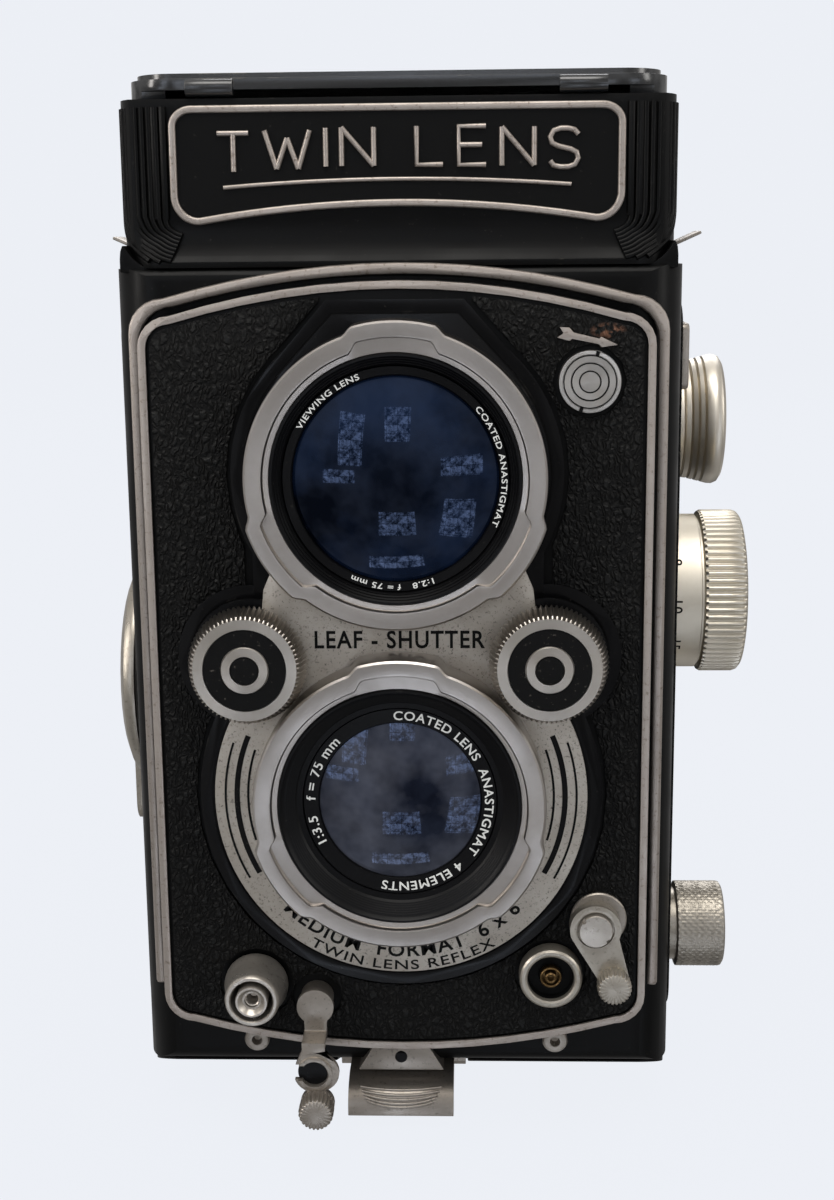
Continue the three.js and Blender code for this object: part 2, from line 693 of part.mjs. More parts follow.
function nameplateOutline(inset) {
  const half = 28.8 - inset;
  const top = 137.2 - inset;
  const points = [];
  for (let i = 0; i <= 12; i += 1) {
    const x = -half + 1.5 + ((2 * half - 3) * i) / 12;
    points.push([x, 124.4 + inset - 0.0027 * x * x]);
  }
  points.push([half, 124.4 + inset - 0.0027 * half * half + 1.5]);
  points.push([half, top - 1.5]);
  points.push([half - 1.5, top]);
  points.push([-half + 1.5, top]);
  points.push([-half, top - 1.5]);
  points.push([-half, 124.4 + inset - 0.0027 * half * half + 1.5]);
  return polygon(points);
}

function nameplateFrame() {
  return slabY(nameplateOutline(0), -29.5, -28.62).subtract(slabY(nameplateOutline(0.9), -31, -28));
}

function nameplatePanel() {
  return slabY(nameplateOutline(0.95), -29.1, -28.62);
}

function hoodLid() {
  const plan = roundedBox(-lidHalf, lidHalf, -28.0, 39.6, [6, 6, 4, 4]);
  const inner = roundedBox(-lidHalf + 1.4, lidHalf - 1.4, -26.6, 38.2, [4.6, 4.6, 2.6, 2.6]);
  const shell = slabZ(plan, 138.1, lidTop - 0.7, 8);
  const crown = slabZ(roundedBox(-lidHalf + 0.8, lidHalf - 0.8, -27.2, 38.8, [5.4, 5.4, 3.4, 3.4]), lidTop - 0.7, lidTop, 8);
  const room = slabZ(inner, 137, 140.2, 6);
  const lip = box(-40, 40, -32, -26.5, 137, 139.1);
  const knuckle = (x) => rodX(1.1, lidHingeY, lidHingeZ, x - 3, x + 3, 20);
  return join(cut(join(shell, crown), room, lip), knuckle(-23.5), knuckle(23.5));
}

function rearFlap() {
  const z0 = 135.0;
  const leaf = slabZ(polygon([[-30, 35.2], [30, 35.2], [3.6, 8.8], [-3.6, 8.8]]), z0, z0 + 0.8);
  return join(leaf, rodX(0.7, 35.6, z0 + 0.4, -29.5, 29.5, 12));
}

function sideFlap(side) {
  const z0 = 132.8;
  const leaf = slabZ(polygon([
    [side * 29.8, -22], [side * 29.8, 34.2], [side * 3.6, 8], [side * 3.6, 4.2],
  ]), z0, z0 + 0.8);
  const rod = turnY([[0, -21.5], [0.7, -21.5], [0.7, 33.5], [0, 33.5]], side * 30.2, z0 + 0.4, 12);
  return join(leaf, rod);
}

// ---------- side controls ----------

function focusKnob() {
  const side = bodyHalf;
  return turnX([
    [0, side + 0.3], [11.4, side + 0.3], [11.4, 41.8], [11.8, 42.0], [11.8, 46.6], [11.3, 47.6], [9.5, 48.3], [0, 48.6],
  ], focusKnobY, focusKnobZ, 60);
}

function upperSpoolKnob() {
  const side = bodyHalf;
  return turnX([
    [0, 29], [2.95, 29], [2.95, side + 0.3], [9.1, side + 0.3], [9.1, 41.8], [9.3, 43.2], [9.8, 44.6], [10.2, 45.6],
    [10.2, 47.6], [9.7, 48.2], [0, 48.6],
  ], upperSpoolY, upperSpoolZ, 48);
}

function lowerSpoolKnob() {
  const side = bodyHalf;
  return turnX([
    [0, 29], [2.95, 29], [2.95, side + 0.3], [6.15, side + 0.3], [6.15, 44.4], [5.7, 45.1], [0, 45.3],
  ], lowerSpoolY, lowerSpoolZ, 40);
}

// The crank is a domed disc with a short arm, so its handle folds in beside the body.
function crankArm() {
  const side = -bodyHalf;
  const disc = turnX([
    [0, side - 4.6], [8, side - 4.5], [13.6, side - 4.0], [15.6, side - 3.2], [16, side - 2.2], [16, side - 1.65], [0, side - 1.65],
  ], crankY, crankZ, 64);
  const arm = slabX(roundedBox(crankY - 3.2, crankY + 3.2, crankZ - 23.6, crankZ, [3.2, 3.2, 0, 0]), side - 4.6, side - 3.4, 6);
  const stud = rodX(1.3, crankY, crankZ - 20.4, side - 3.8, side - 0.9, 24);
  return join(disc, arm, stud);
}

function crankHandle() {
  const side = -bodyHalf;
  return turnX([
    [1.5, side - 3.2], [2.8, side - 3.2], [3.1, side - 2.9], [3.1, side - 1.2], [2.8, side - 0.95], [1.5, side - 0.95],
    [1.5, side - 3.2],
  ], crankY, crankZ - 20.4, 24);
}

// ---------- film path ----------

function roller(z) {
  return turnX([[0, -34.2], [1.2, -34.2], [1.2, -31.6], [2.3, -31.6], [2.3, -28.6], [1.9, -28.4], [1.9, 28.4], [2.3, 28.6],
    [2.3, 31.6], [1.2, 31.6], [1.2, 34.2], [0, 34.2]], rollerY, z, 20);
}

function takeUpSpool() {
  const spool = turnX([
    [0, -32], [4.4, -32], [12.2, -31.9], [12.2, -31.1], [5.6, -31.0], [5.6, 31.0], [12.2, 31.1], [12.2, 31.9], [4.4, 32],
    [0, 32],
  ], upperSpoolY, upperSpoolZ, 36);
  return cut(
    spool,
    rodX(3.4, upperSpoolY, upperSpoolZ, 28, 33, 24),
    rodX(3.4, upperSpoolY, upperSpoolZ, -33, -28.6, 24),
  );
}

// ---------- the hinged back ----------

function backDoor() {
  const plan = roundedBox(-36.4, 36.4, -28.6, doorOuter, [5, 5, 4, 4]);
  const back = box(-36.4, 36.4, doorFace, doorOuter, 3.4, 112.9);
  const bottom = slabX(polygon([[-28.5, 7.2], [-28.5, 6.9], [-20.6, 3.4], [doorOuter, 3.4], [doorOuter, 7.2]]), -36.4, 36.4);
  const shell = join(back, bottom).intersect(slabZ(plan, 0, 130, 6));
  const barrel = rodX(1.9, doorHingeY, doorHingeZ, -14, 14, 20);
  const web = box(-14, 14, doorHingeY - 1.2, doorOuter - 0.7, 112, doorHingeZ);
  const foot = (x, y) => rodZ(2.3, x, y, 0, 3.6, 24);
  const feet = [foot(-29.3, -12.8), foot(29.3, -12.8), foot(-29.3, 37.5), foot(29.3, 37.5)];
  return cut(
    join(shell, barrel, web, ...feet),
    rodZ(8.3, 0, socketY, 3, 8, 36),
    box(latchX - 9.2, latchX + 9.2, -30, -22.2, 3, 8),
    box(-30.6, 30.6, doorFace - 1, doorFace + 1.4, 17, 83),
  );
}

function backLeather() {
  return slabY(roundedBox(-33, 33, 9, 108, [4, 4, 4, 4]), doorOuter + 0.02, doorOuter + 0.6, 6);
}

function pressurePlate() {
  const plate = slabY(roundedBox(-30, 30, 18, 82, [2, 2, 2, 2]), 37.5, 38.6, 4);
  const spring = slabY(roundedBox(-22, 22, 46, 54, [1, 1, 1, 1]), 38.5, doorFace + 1.38, 4);
  return join(plate, spring);
}

function exposureTable() {
  return slabY(roundedBox(-22, 22, 62, 96, [1.5, 1.5, 1.5, 1.5]), doorOuter + 0.62, doorOuter + 1.1, 4);
}

// The bush stands proud of the door, so its wide flange is what the camera rests on with its feet.
function tripodBush() {
  const body = rodZ(8.2, 0, socketY, 3.3, 7.2, 36);
  const flange = slabZ(roundedBox(-10, 10, -13, 18, [4, 4, 9, 9]), 0, 3.38, 6);
  return join(body, flange).subtract(rodZ(4.3, 0, socketY, -1, 8, 36));
}

// Finger catch at the bottom front, turned down to let the back swing open.
function doorLatch() {
  const outline = new THREE.Shape();
  outline.moveTo(-22.9, 4.4);
  outline.lineTo(-22.9, 6.5);
  outline.lineTo(-31.4, 6.8);
  outline.lineTo(-33.6, 6.2);
  outline.quadraticCurveTo(-35.6, 5.2, -35.7, 3.4);
  outline.lineTo(-35.7, 2.4);
  outline.quadraticCurveTo(-34.4, 1.3, -32.4, 1.6);
  outline.lineTo(-31.6, 3.2);
  outline.closePath();
  const lever = slabX(outline, latchX - 7.25, latchX + 7.25, 5);
  const pin = rodX(1.3, -23.6, 5.4, latchX - 8.9, latchX + 8.9, 20);
  return join(lever, pin);
}

// ---------- the assembly ----------

place('body_casting', bodyCasting(), black);
place('film_chamber', filmChamber(), black);
place('body_trim', bodyTrim(), silver);
place('side_leather_left', sideLeather(-1), leather);
place('side_leather_right', sideLeather(1), leather);
place('strap_lug_left', strapLug(-1), silver);
place('strap_lug_right', strapLug(1), silver);
place('crank_housing', crankHousing(), black);
place('index_bracket', indexBracket(), black);
place('viewing_mirror', viewingMirror(), chrome);
place('focusing_screen', focusingScreen(), glass);
place('catch_plate', catchPlate(), silver);
place('case_stud_left', rodY(1.7, -20.5, 12.6, -34.0, bodyFront - 0.02, 20), chrome);
place('case_stud_right', rodY(1.7, 20.5, 12.6, -34.0, bodyFront - 0.02, 20), chrome);

place('front_plate', frontPlate(), black);
place('plate_trim', plateTrim(), silver);
place('front_leather', frontLeather(), leather);
place('lens_platform', lensPlatform(), black);
place('shutter_shield', shutterShield(), silver);
place('taking_bezel', bayonetBezel(takingZ, platformFront - 0.02), chrome);
place('taking_barrel', lensBarrel(takingZ, platformFront - 0.02, takingGlassR, 11.2), black);
place('taking_glass', lensGlass(takingZ, takingGlassR, 2.4), glass);
place('viewing_bezel', bayonetBezel(viewingZ, platformFront - 0.02), chrome);
place('viewing_barrel', lensBarrel(viewingZ, platformFront - 0.02, viewingGlassR, 13.2), black);
place('viewing_glass', lensGlass(viewingZ, viewingGlassR, 3.0), glass);
place('aperture_wheel', settingWheel(-1), nickel);
place('aperture_wheel_cap', wheelCap(-1), silver);
place('speed_wheel', settingWheel(1), nickel);
place('speed_wheel_cap', wheelCap(1), silver);
place('slotted_cap', slottedCap(), silver);
place('arrow_plate', slabY(arrowOutline(0), plateFront - 1.0, plateFront - 0.57), silver);
place('release_sleeve', releaseSleeve(), chrome);
place('release_button', releaseButton(), nickel);
place('release_guard', releaseGuard(), nickel);
place('sync_socket', syncSocket(), chrome);
place('sync_pin', syncPin(), nickel);
place('sync_lever', syncLever(), nickel);
place('sync_lever_screw', syncScrew(), nickel);

place('hood_base', hoodBase(), black);
place('nameplate_frame', nameplateFrame(), silver);
place('nameplate_panel', nameplatePanel(), black);
place('hood_lid', hoodLid(), black);
place('hood_rear_flap', rearFlap(), black);
place('hood_left_flap', sideFlap(-1), black);
place('hood_right_flap', sideFlap(1), black);

place('focus_knob', focusKnob(), nickel);
place('upper_spool_knob', upperSpoolKnob(), nickel);
place('lower_spool_knob', lowerSpoolKnob(), nickel);
place('crank_arm', crankArm(), nickel);
place('crank_handle', crankHandle(), nickel);

place('film_roller_lower', roller(lowerRollerZ), chrome);
place('film_roller_upper', roller(upperRollerZ), chrome);
place('take_up_spool', takeUpSpool(), black);

place('back_door', backDoor(), black);
place('back_leather', backLeather(), leather);
place('pressure_plate', pressurePlate(), black);
place('exposure_table', exposureTable(), silver);
place('tripod_bush', tripodBush(), silver);
place('door_latch', doorLatch(), nickel);

export default group;
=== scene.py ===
# A medium-format twin lens reflex camera with its hood closed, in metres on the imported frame.
# Each section is one piece or one group of like pieces, in the order that the camera is put together.

import math

import bpy
from mathutils import Matrix, Vector


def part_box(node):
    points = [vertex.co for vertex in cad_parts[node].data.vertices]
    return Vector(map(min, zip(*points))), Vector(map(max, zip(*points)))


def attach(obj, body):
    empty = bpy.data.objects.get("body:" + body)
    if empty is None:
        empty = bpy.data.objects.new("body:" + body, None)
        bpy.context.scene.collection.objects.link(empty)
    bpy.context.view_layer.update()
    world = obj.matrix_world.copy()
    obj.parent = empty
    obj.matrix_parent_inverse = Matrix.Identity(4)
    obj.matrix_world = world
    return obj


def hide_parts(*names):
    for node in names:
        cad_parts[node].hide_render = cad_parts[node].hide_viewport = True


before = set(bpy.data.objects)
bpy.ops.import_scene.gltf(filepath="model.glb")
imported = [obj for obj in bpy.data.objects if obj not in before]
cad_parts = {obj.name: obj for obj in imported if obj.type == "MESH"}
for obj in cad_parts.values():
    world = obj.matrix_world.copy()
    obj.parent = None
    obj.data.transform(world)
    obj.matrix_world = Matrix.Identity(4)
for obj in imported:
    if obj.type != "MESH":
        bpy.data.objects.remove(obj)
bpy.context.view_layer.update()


# ---------------------------------------------------------------------------------------------
# The studio: a white paper sweep under the camera, soft boxes overhead and to the sides, and a
# room of tall windows behind the viewer, which shows small in the curved glass.

def linear(code):
    """A colour written as sRGB hex, turned to the linear values a shader takes."""
    channels = [int(code[i:i + 2], 16) / 255 for i in (1, 3, 5)]
    return tuple(c / 12.92 if c <= 0.04045 else ((c + 0.055) / 1.055) ** 2.4 for c in channels) + (1.0,)


def add(tree, kind, sockets=None, **settings):
    """Add one node. Settings are its own fields; sockets hold a value or another node's output to link."""
    node = tree.nodes.new(kind)
    for field, value in settings.items():
        setattr(node, field, value)
    for key, value in (sockets or {}).items():
        if isinstance(value, bpy.types.NodeSocket):
            tree.links.new(value, node.inputs[key])
        else:
            node.inputs[key].default_value = value
    return node


def finish_named(name):
    """A new material with an empty shader, and the object coordinates that its pattern is laid out in."""
    finish = bpy.data.materials.new(name)
    finish.use_nodes = True
    tree = finish.node_tree
    tree.nodes.clear()
    surface = add(tree, "ShaderNodeBsdfPrincipled")
    add(tree, "ShaderNodeOutputMaterial", {"Surface": surface.outputs["BSDF"]})
    place = add(tree, "ShaderNodeTexCoord").outputs["Object"]
    return finish, tree, surface, place


def only(piece):
    """Make this the one selected and active object."""
    bpy.ops.object.select_all(action="DESELECT")
    piece.select_set(True)
    bpy.context.view_layer.objects.active = piece


def settle(piece, name):
    """Name the piece and put it at the origin, unturned, with its place in its mesh."""
    only(piece)
    bpy.ops.object.transform_apply(location=True, rotation=True, scale=True)
    piece.name = name
    piece.data.name = name
    return piece


bpy.ops.object.select_all(action="DESELECT")
bpy.ops.mesh.primitive_circle_add(vertices=96, radius=1.6, fill_type="NGON", location=(0, 0, 0))
paper_sweep = bpy.context.object
paper_sweep.name = "paper_sweep"
bpy.ops.object.mode_set(mode="EDIT")
bpy.ops.mesh.select_all(action="SELECT")
for rise, spread in ((0.02, 1.10), (0.06, 1.08), (0.12, 1.06), (0.2, 1.04), (1.6, 1.0)):
    bpy.ops.mesh.extrude_region_move(TRANSFORM_OT_translate={"value": (0, 0, rise)})
    bpy.ops.transform.resize(value=(spread, spread, 1))
bpy.ops.mesh.delete(type="ONLY_FACE")
bpy.ops.object.mode_set(mode="OBJECT")
bpy.ops.object.shade_smooth()
paper_sweep.visible_glossy = False

paper, tree, surface, place = finish_named("matt_white_paper")
surface.inputs["Base Color"].default_value = linear("#1c1c1e")
surface.inputs["Roughness"].default_value = 1.0
surface.inputs["Specular IOR Level"].default_value = 0.0
surface.inputs["Emission Color"].default_value = linear("#eef1f7")
surface.inputs["Emission Strength"].default_value = 0.97
paper_sweep.data.materials.append(paper)

room = bpy.data.worlds.new("soft_room")
bpy.context.scene.world = room
room.use_nodes = True
tree = room.node_tree
ray = add(tree, "ShaderNodeTexCoord").outputs["Generated"]
heights = add(tree, "ShaderNodeSeparateXYZ", {"Vector": ray})
blotches = add(tree, "ShaderNodeTexNoise", {"Vector": ray, "Scale": 2.6, "Detail": 3.0, "Roughness": 0.6})
walls = add(tree, "ShaderNodeMapRange", {
    "Value": blotches.outputs["Fac"], "From Min": 0.38, "From Max": 0.62, "To Min": 0.14, "To Max": 0.62})
ceiling = add(tree, "ShaderNodeMapRange", {
    "Value": heights.outputs["Z"], "From Min": -0.3, "From Max": 0.9, "To Min": 0.0, "To Max": 0.4})
light_level = add(tree, "ShaderNodeMath", {0: walls.outputs["Result"], 1: ceiling.outputs["Result"]}, operation="ADD")
backdrop = tree.nodes["Background"]
backdrop.inputs["Color"].default_value = linear("#f4f2f1")
tree.links.new(light_level.outputs["Value"], backdrop.inputs["Strength"])
bpy.context.scene.view_settings.view_transform = "Standard"


def lamp(name, size, place_at, aim, watts, tint):
    """A rectangular soft box at a place, facing a point."""
    light = bpy.data.lights.new(name, "AREA")
    light.shape = "RECTANGLE"
    light.size, light.size_y = size
    light.energy = watts
    light.color = linear(tint)[:3]
    box = bpy.data.objects.new(name, light)
    bpy.context.collection.objects.link(box)
    box.location = place_at
    box.rotation_euler = (Vector(aim) - Vector(place_at)).to_track_quat("-Z", "Y").to_euler()
    return box


middle = (0, 0, 0.075)
lamp("overhead_soft_box", (0.7, 0.5), (-0.05, -0.35, 0.95), middle, 6.5, "#f8f5f0")
lamp("left_soft_box", (0.2, 0.7), (-0.95, -0.55, 0.45), middle, 4.5, "#f6f1ec")
lamp("right_soft_box", (0.25, 0.6), (0.95, -0.45, 0.45), middle, 2.6, "#f4f2ee")
lamp("back_soft_box", (0.6, 0.4), (0.1, 0.9, 0.7), middle, 4.0, "#f4f4f6")

daylight, tree, surface, place = finish_named("window_daylight")
panes = add(tree, "ShaderNodeTexBrick", {
    "Vector": place, "Color1": (1, 1, 1, 1), "Color2": (1, 1, 1, 1), "Mortar": (0, 0, 0, 1), "Scale": 1.0,
    "Mortar Size": 0.004, "Mortar Smooth": 0.3, "Brick Width": 0.15, "Row Height": 0.12}, offset=0.0)
leaves = add(tree, "ShaderNodeTexNoise", {"Vector": place, "Scale": 9.0, "Detail": 7.0, "Roughness": 0.8})
garden = add(tree, "ShaderNodeMapRange", {
    "Value": leaves.outputs["Fac"], "From Min": 0.44, "From Max": 0.62, "To Min": 0.03, "To Max": 1.0})
seen = add(tree, "ShaderNodeMath", {0: panes.outputs["Color"], 1: garden.outputs["Result"]}, operation="MULTIPLY")
shine = add(tree, "ShaderNodeMath", {0: seen.outputs["Value"], 1: 6.5}, operation="MULTIPLY")
surface.inputs["Base Color"].default_value = (0, 0, 0, 1)
surface.inputs["Specular IOR Level"].default_value = 0.0
surface.inputs["Emission Color"].default_value = linear("#e6eefc")
tree.links.new(shine.outputs["Value"], surface.inputs["Emission Strength"])
from_lens = Vector((0, -0.045, 0.0915))
for number, (across, up, wide, tall) in enumerate((
        (-27, 14, 0.34, 0.7), (-1, 23, 0.36, 0.46), (33, 0, 0.56, 0.26), (-33, -5, 0.44, 0.18), (-2, -31, 0.5, 0.34),
        (33, -27, 0.42, 0.52), (-4, -52, 0.66, 0.16))):
    a, b = math.radians(across), math.radians(up)
    aim = Vector((math.sin(a) * math.cos(b), -math.cos(a) * math.cos(b), math.sin(b)))
    bpy.ops.object.select_all(action="DESELECT")
    bpy.ops.mesh.primitive_plane_add(size=1.0)
    window = bpy.context.object
    window.name = f"window_{number}"
    window.scale = (wide, tall, 1)
    bpy.ops.object.transform_apply(location=False, rotation=False, scale=True)
    window.location = from_lens + aim * 1.5
    window.rotation_euler = (-aim).to_track_quat("Z", "Y").to_euler()
    window.data.materials.append(daylight)
    window.visible_camera = False
    window.visible_diffuse = False
    window.visible_shadow = False

camera_lens = bpy.data.cameras.new("view_camera")
camera_lens.sensor_width = 36
camera_lens.lens = 51.44
camera_lens.clip_start = 0.01
view_camera = bpy.data.objects.new("view_camera", camera_lens)
bpy.context.collection.objects.link(view_camera)
turn = Matrix.Rotation(math.radians(2.0), 4, "Z") @ Matrix.Rotation(math.radians(90 - 11.93), 4, "X")
turn = turn @ Matrix.Rotation(math.radians(-0.58), 4, "Z")
view_camera.matrix_world = Matrix.Translation((0.0098, -0.2518, 0.1206)) @ turn
bpy.context.scene.camera = view_camera


# ---------------------------------------------------------------------------------------------
# The body is one light-alloy casting under stoved black enamel. Its long edges are eased by the
# polishing mop, so the enamel is thin there and the grey metal shows through in places.

def recut(node, name, ease, crease=32):
    """A copy of a CAD solid, its loose triangles merged to clean faces and its sharp edges eased by some mm."""
    piece = bpy.data.objects.new(name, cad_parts[node].data.copy())
    bpy.context.collection.objects.link(piece)
    piece.data.materials.clear()
    only(piece)
    bpy.ops.object.mode_set(mode="EDIT")
    bpy.ops.mesh.select_all(action="SELECT")
    bpy.ops.mesh.remove_doubles(threshold=0.000002)
    bpy.ops.mesh.dissolve_limited(angle_limit=math.radians(0.6))
    bpy.ops.object.mode_set(mode="OBJECT")
    if ease:
        soften(piece, ease, crease)
    bpy.ops.object.shade_smooth_by_angle(angle=math.radians(crease))
    return piece


def soften(piece, ease, crease=32, steps=2):
    """Round every edge sharper than the crease angle by a width in mm."""
    only(piece)
    edge = piece.modifiers.new("eased_edges", "BEVEL")
    edge.width = ease / 1000
    edge.segments = steps
    edge.limit_method = "ANGLE"
    edge.angle_limit = math.radians(crease)
    edge.use_clamp_overlap = True
    bpy.ops.object.modifier_apply(modifier=edge.name)
    bpy.ops.object.shade_smooth_by_angle(angle=math.radians(crease))
    return piece


def fit(piece, finish, body, slot, *nodes):
    """Give a finished piece its material and body, and let it stand for its CAD nodes. The slot argument is not used.
    """
    piece.data.materials.clear()
    piece.data.materials.append(finish)
    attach(piece, body)
    if nodes:
        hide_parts(*nodes)
    return piece


def enamel_named(name, colour, rough, shine, wear):
    """Stoved enamel: smooth black glass over metal, faint orange peel, metal showing where edges rub."""
    finish, tree, surface, place = finish_named(name)
    cloud = add(tree, "ShaderNodeTexNoise", {"Vector": place, "Scale": 90.0, "Detail": 5.0, "Roughness": 0.6})
    grit = add(tree, "ShaderNodeTexNoise", {"Vector": place, "Scale": 900.0, "Detail": 3.0})
    dust = add(tree, "ShaderNodeTexNoise", {"Vector": place, "Scale": 1900.0, "Detail": 2.0})
    haze = add(tree, "ShaderNodeMapRange", {
        "Value": cloud.outputs["Fac"], "From Min": 0.3, "From Max": 0.7,
        "To Min": rough - 0.05, "To Max": rough + 0.12})
    bent = add(tree, "ShaderNodeBevel", {"Radius": 0.0003}, samples=4)
    flat = add(tree, "ShaderNodeNewGeometry")
    facing = add(tree, "ShaderNodeVectorMath", {0: bent.outputs["Normal"], 1: flat.outputs["Normal"]},
                 operation="DOT_PRODUCT")
    edge = add(tree, "ShaderNodeMapRange", {
        "Value": facing.outputs["Value"], "From Min": 0.985, "From Max": 0.90, "To Min": 0.0, "To Max": 1.0})
    patch = add(tree, "ShaderNodeMapRange", {
        "Value": cloud.outputs["Fac"], "From Min": 0.58, "From Max": 0.66, "To Min": 0.0, "To Max": wear})
    rubbed = add(tree, "ShaderNodeMath", {0: edge.outputs["Result"], 1: patch.outputs["Result"]}, operation="MULTIPLY")
    specks = add(tree, "ShaderNodeMapRange", {
        "Value": dust.outputs["Fac"], "From Min": 0.70, "From Max": 0.76, "To Min": 0.0, "To Max": 0.12})
    dusty = add(tree, "ShaderNodeMix", {
        "Factor": specks.outputs["Result"], "A": linear(colour), "B": linear("#55524c")}, data_type="RGBA")
    tone = add(tree, "ShaderNodeMix", {
        "Factor": rubbed.outputs["Value"], "A": dusty.outputs["Result"], "B": linear("#8b857b")}, data_type="RGBA")
    tree.links.new(tone.outputs["Result"], surface.inputs["Base Color"])
    tree.links.new(rubbed.outputs["Value"], surface.inputs["Metallic"])
    tree.links.new(haze.outputs["Result"], surface.inputs["Roughness"])
    surface.inputs["Specular IOR Level"].default_value = shine
    peel = add(tree, "ShaderNodeBump", {"Height": grit.outputs["Fac"], "Distance": 0.00001, "Strength": 0.25})
    tree.links.new(peel.outputs["Normal"], surface.inputs["Normal"])
    return finish


black_enamel = enamel_named("stoved_black_enamel", "#060606", 0.36, 0.10, 0.5)
fit(recut("body_casting", "body_shell", 0.3), black_enamel, "camera", "black_enamel", "body_casting")
matt_black = enamel_named("matt_black_lacquer", "#060606", 0.55, 0.1, 0.0)
fit(recut("film_chamber", "film_chamber_casting", 0.2), matt_black, "camera", "black_enamel", "film_chamber")


# ---------------------------------------------------------------------------------------------
# The outer trim is a strip of bare white metal let into the enamel round the front, rolled back
# over the casting's edge. Handling has dulled it to a warm grey with dark specks.

def bare_metal_named(name, colour, dark, rough, speck_size, specks, stain="#3a3530"):
    """Bare plated metal: warm grey, slightly cloudy, with small dark pits a tenth of a millimetre across."""
    finish, tree, surface, place = finish_named(name)
    cloud = add(tree, "ShaderNodeTexNoise", {"Vector": place, "Scale": 160.0, "Detail": 6.0, "Roughness": 0.65})
    pits = add(tree, "ShaderNodeTexNoise", {"Vector": place, "Scale": speck_size, "Detail": 4.0, "Roughness": 0.7})
    pitted = add(tree, "ShaderNodeMapRange", {
        "Value": pits.outputs["Fac"], "From Min": 0.56, "From Max": 0.70, "To Min": 0.0, "To Max": specks})
    tone = add(tree, "ShaderNodeMix", {
        "Factor": cloud.outputs["Fac"], "A": linear(colour), "B": linear(dark)}, data_type="RGBA")
    stained = add(tree, "ShaderNodeMix", {
        "Factor": pitted.outputs["Result"], "A": tone.outputs["Result"], "B": linear(stain)}, data_type="RGBA")
    tree.links.new(stained.outputs["Result"], surface.inputs["Base Color"])
    surface.inputs["Metallic"].default_value = 0.85
    haze = add(tree, "ShaderNodeMapRange", {
        "Value": cloud.outputs["Fac"], "From Min": 0.3, "From Max": 0.7, "To Min": rough - 0.07, "To Max": rough + 0.1})
    tree.links.new(haze.outputs["Result"], surface.inputs["Roughness"])
    dent = add(tree, "ShaderNodeBump", {"Height": pits.outputs["Fac"], "Distance": 0.00002, "Strength": 0.3})
    tree.links.new(dent.outputs["Normal"], surface.inputs["Normal"])
    return finish


trim_metal = bare_metal_named("worn_white_metal", "#b3aaa2", "#8c837b", 0.42, 1500.0, 0.6, "#4a382c")
fit(recut("body_trim", "outer_trim", 0.45), trim_metal, "camera", "trim_silver", "body_trim")
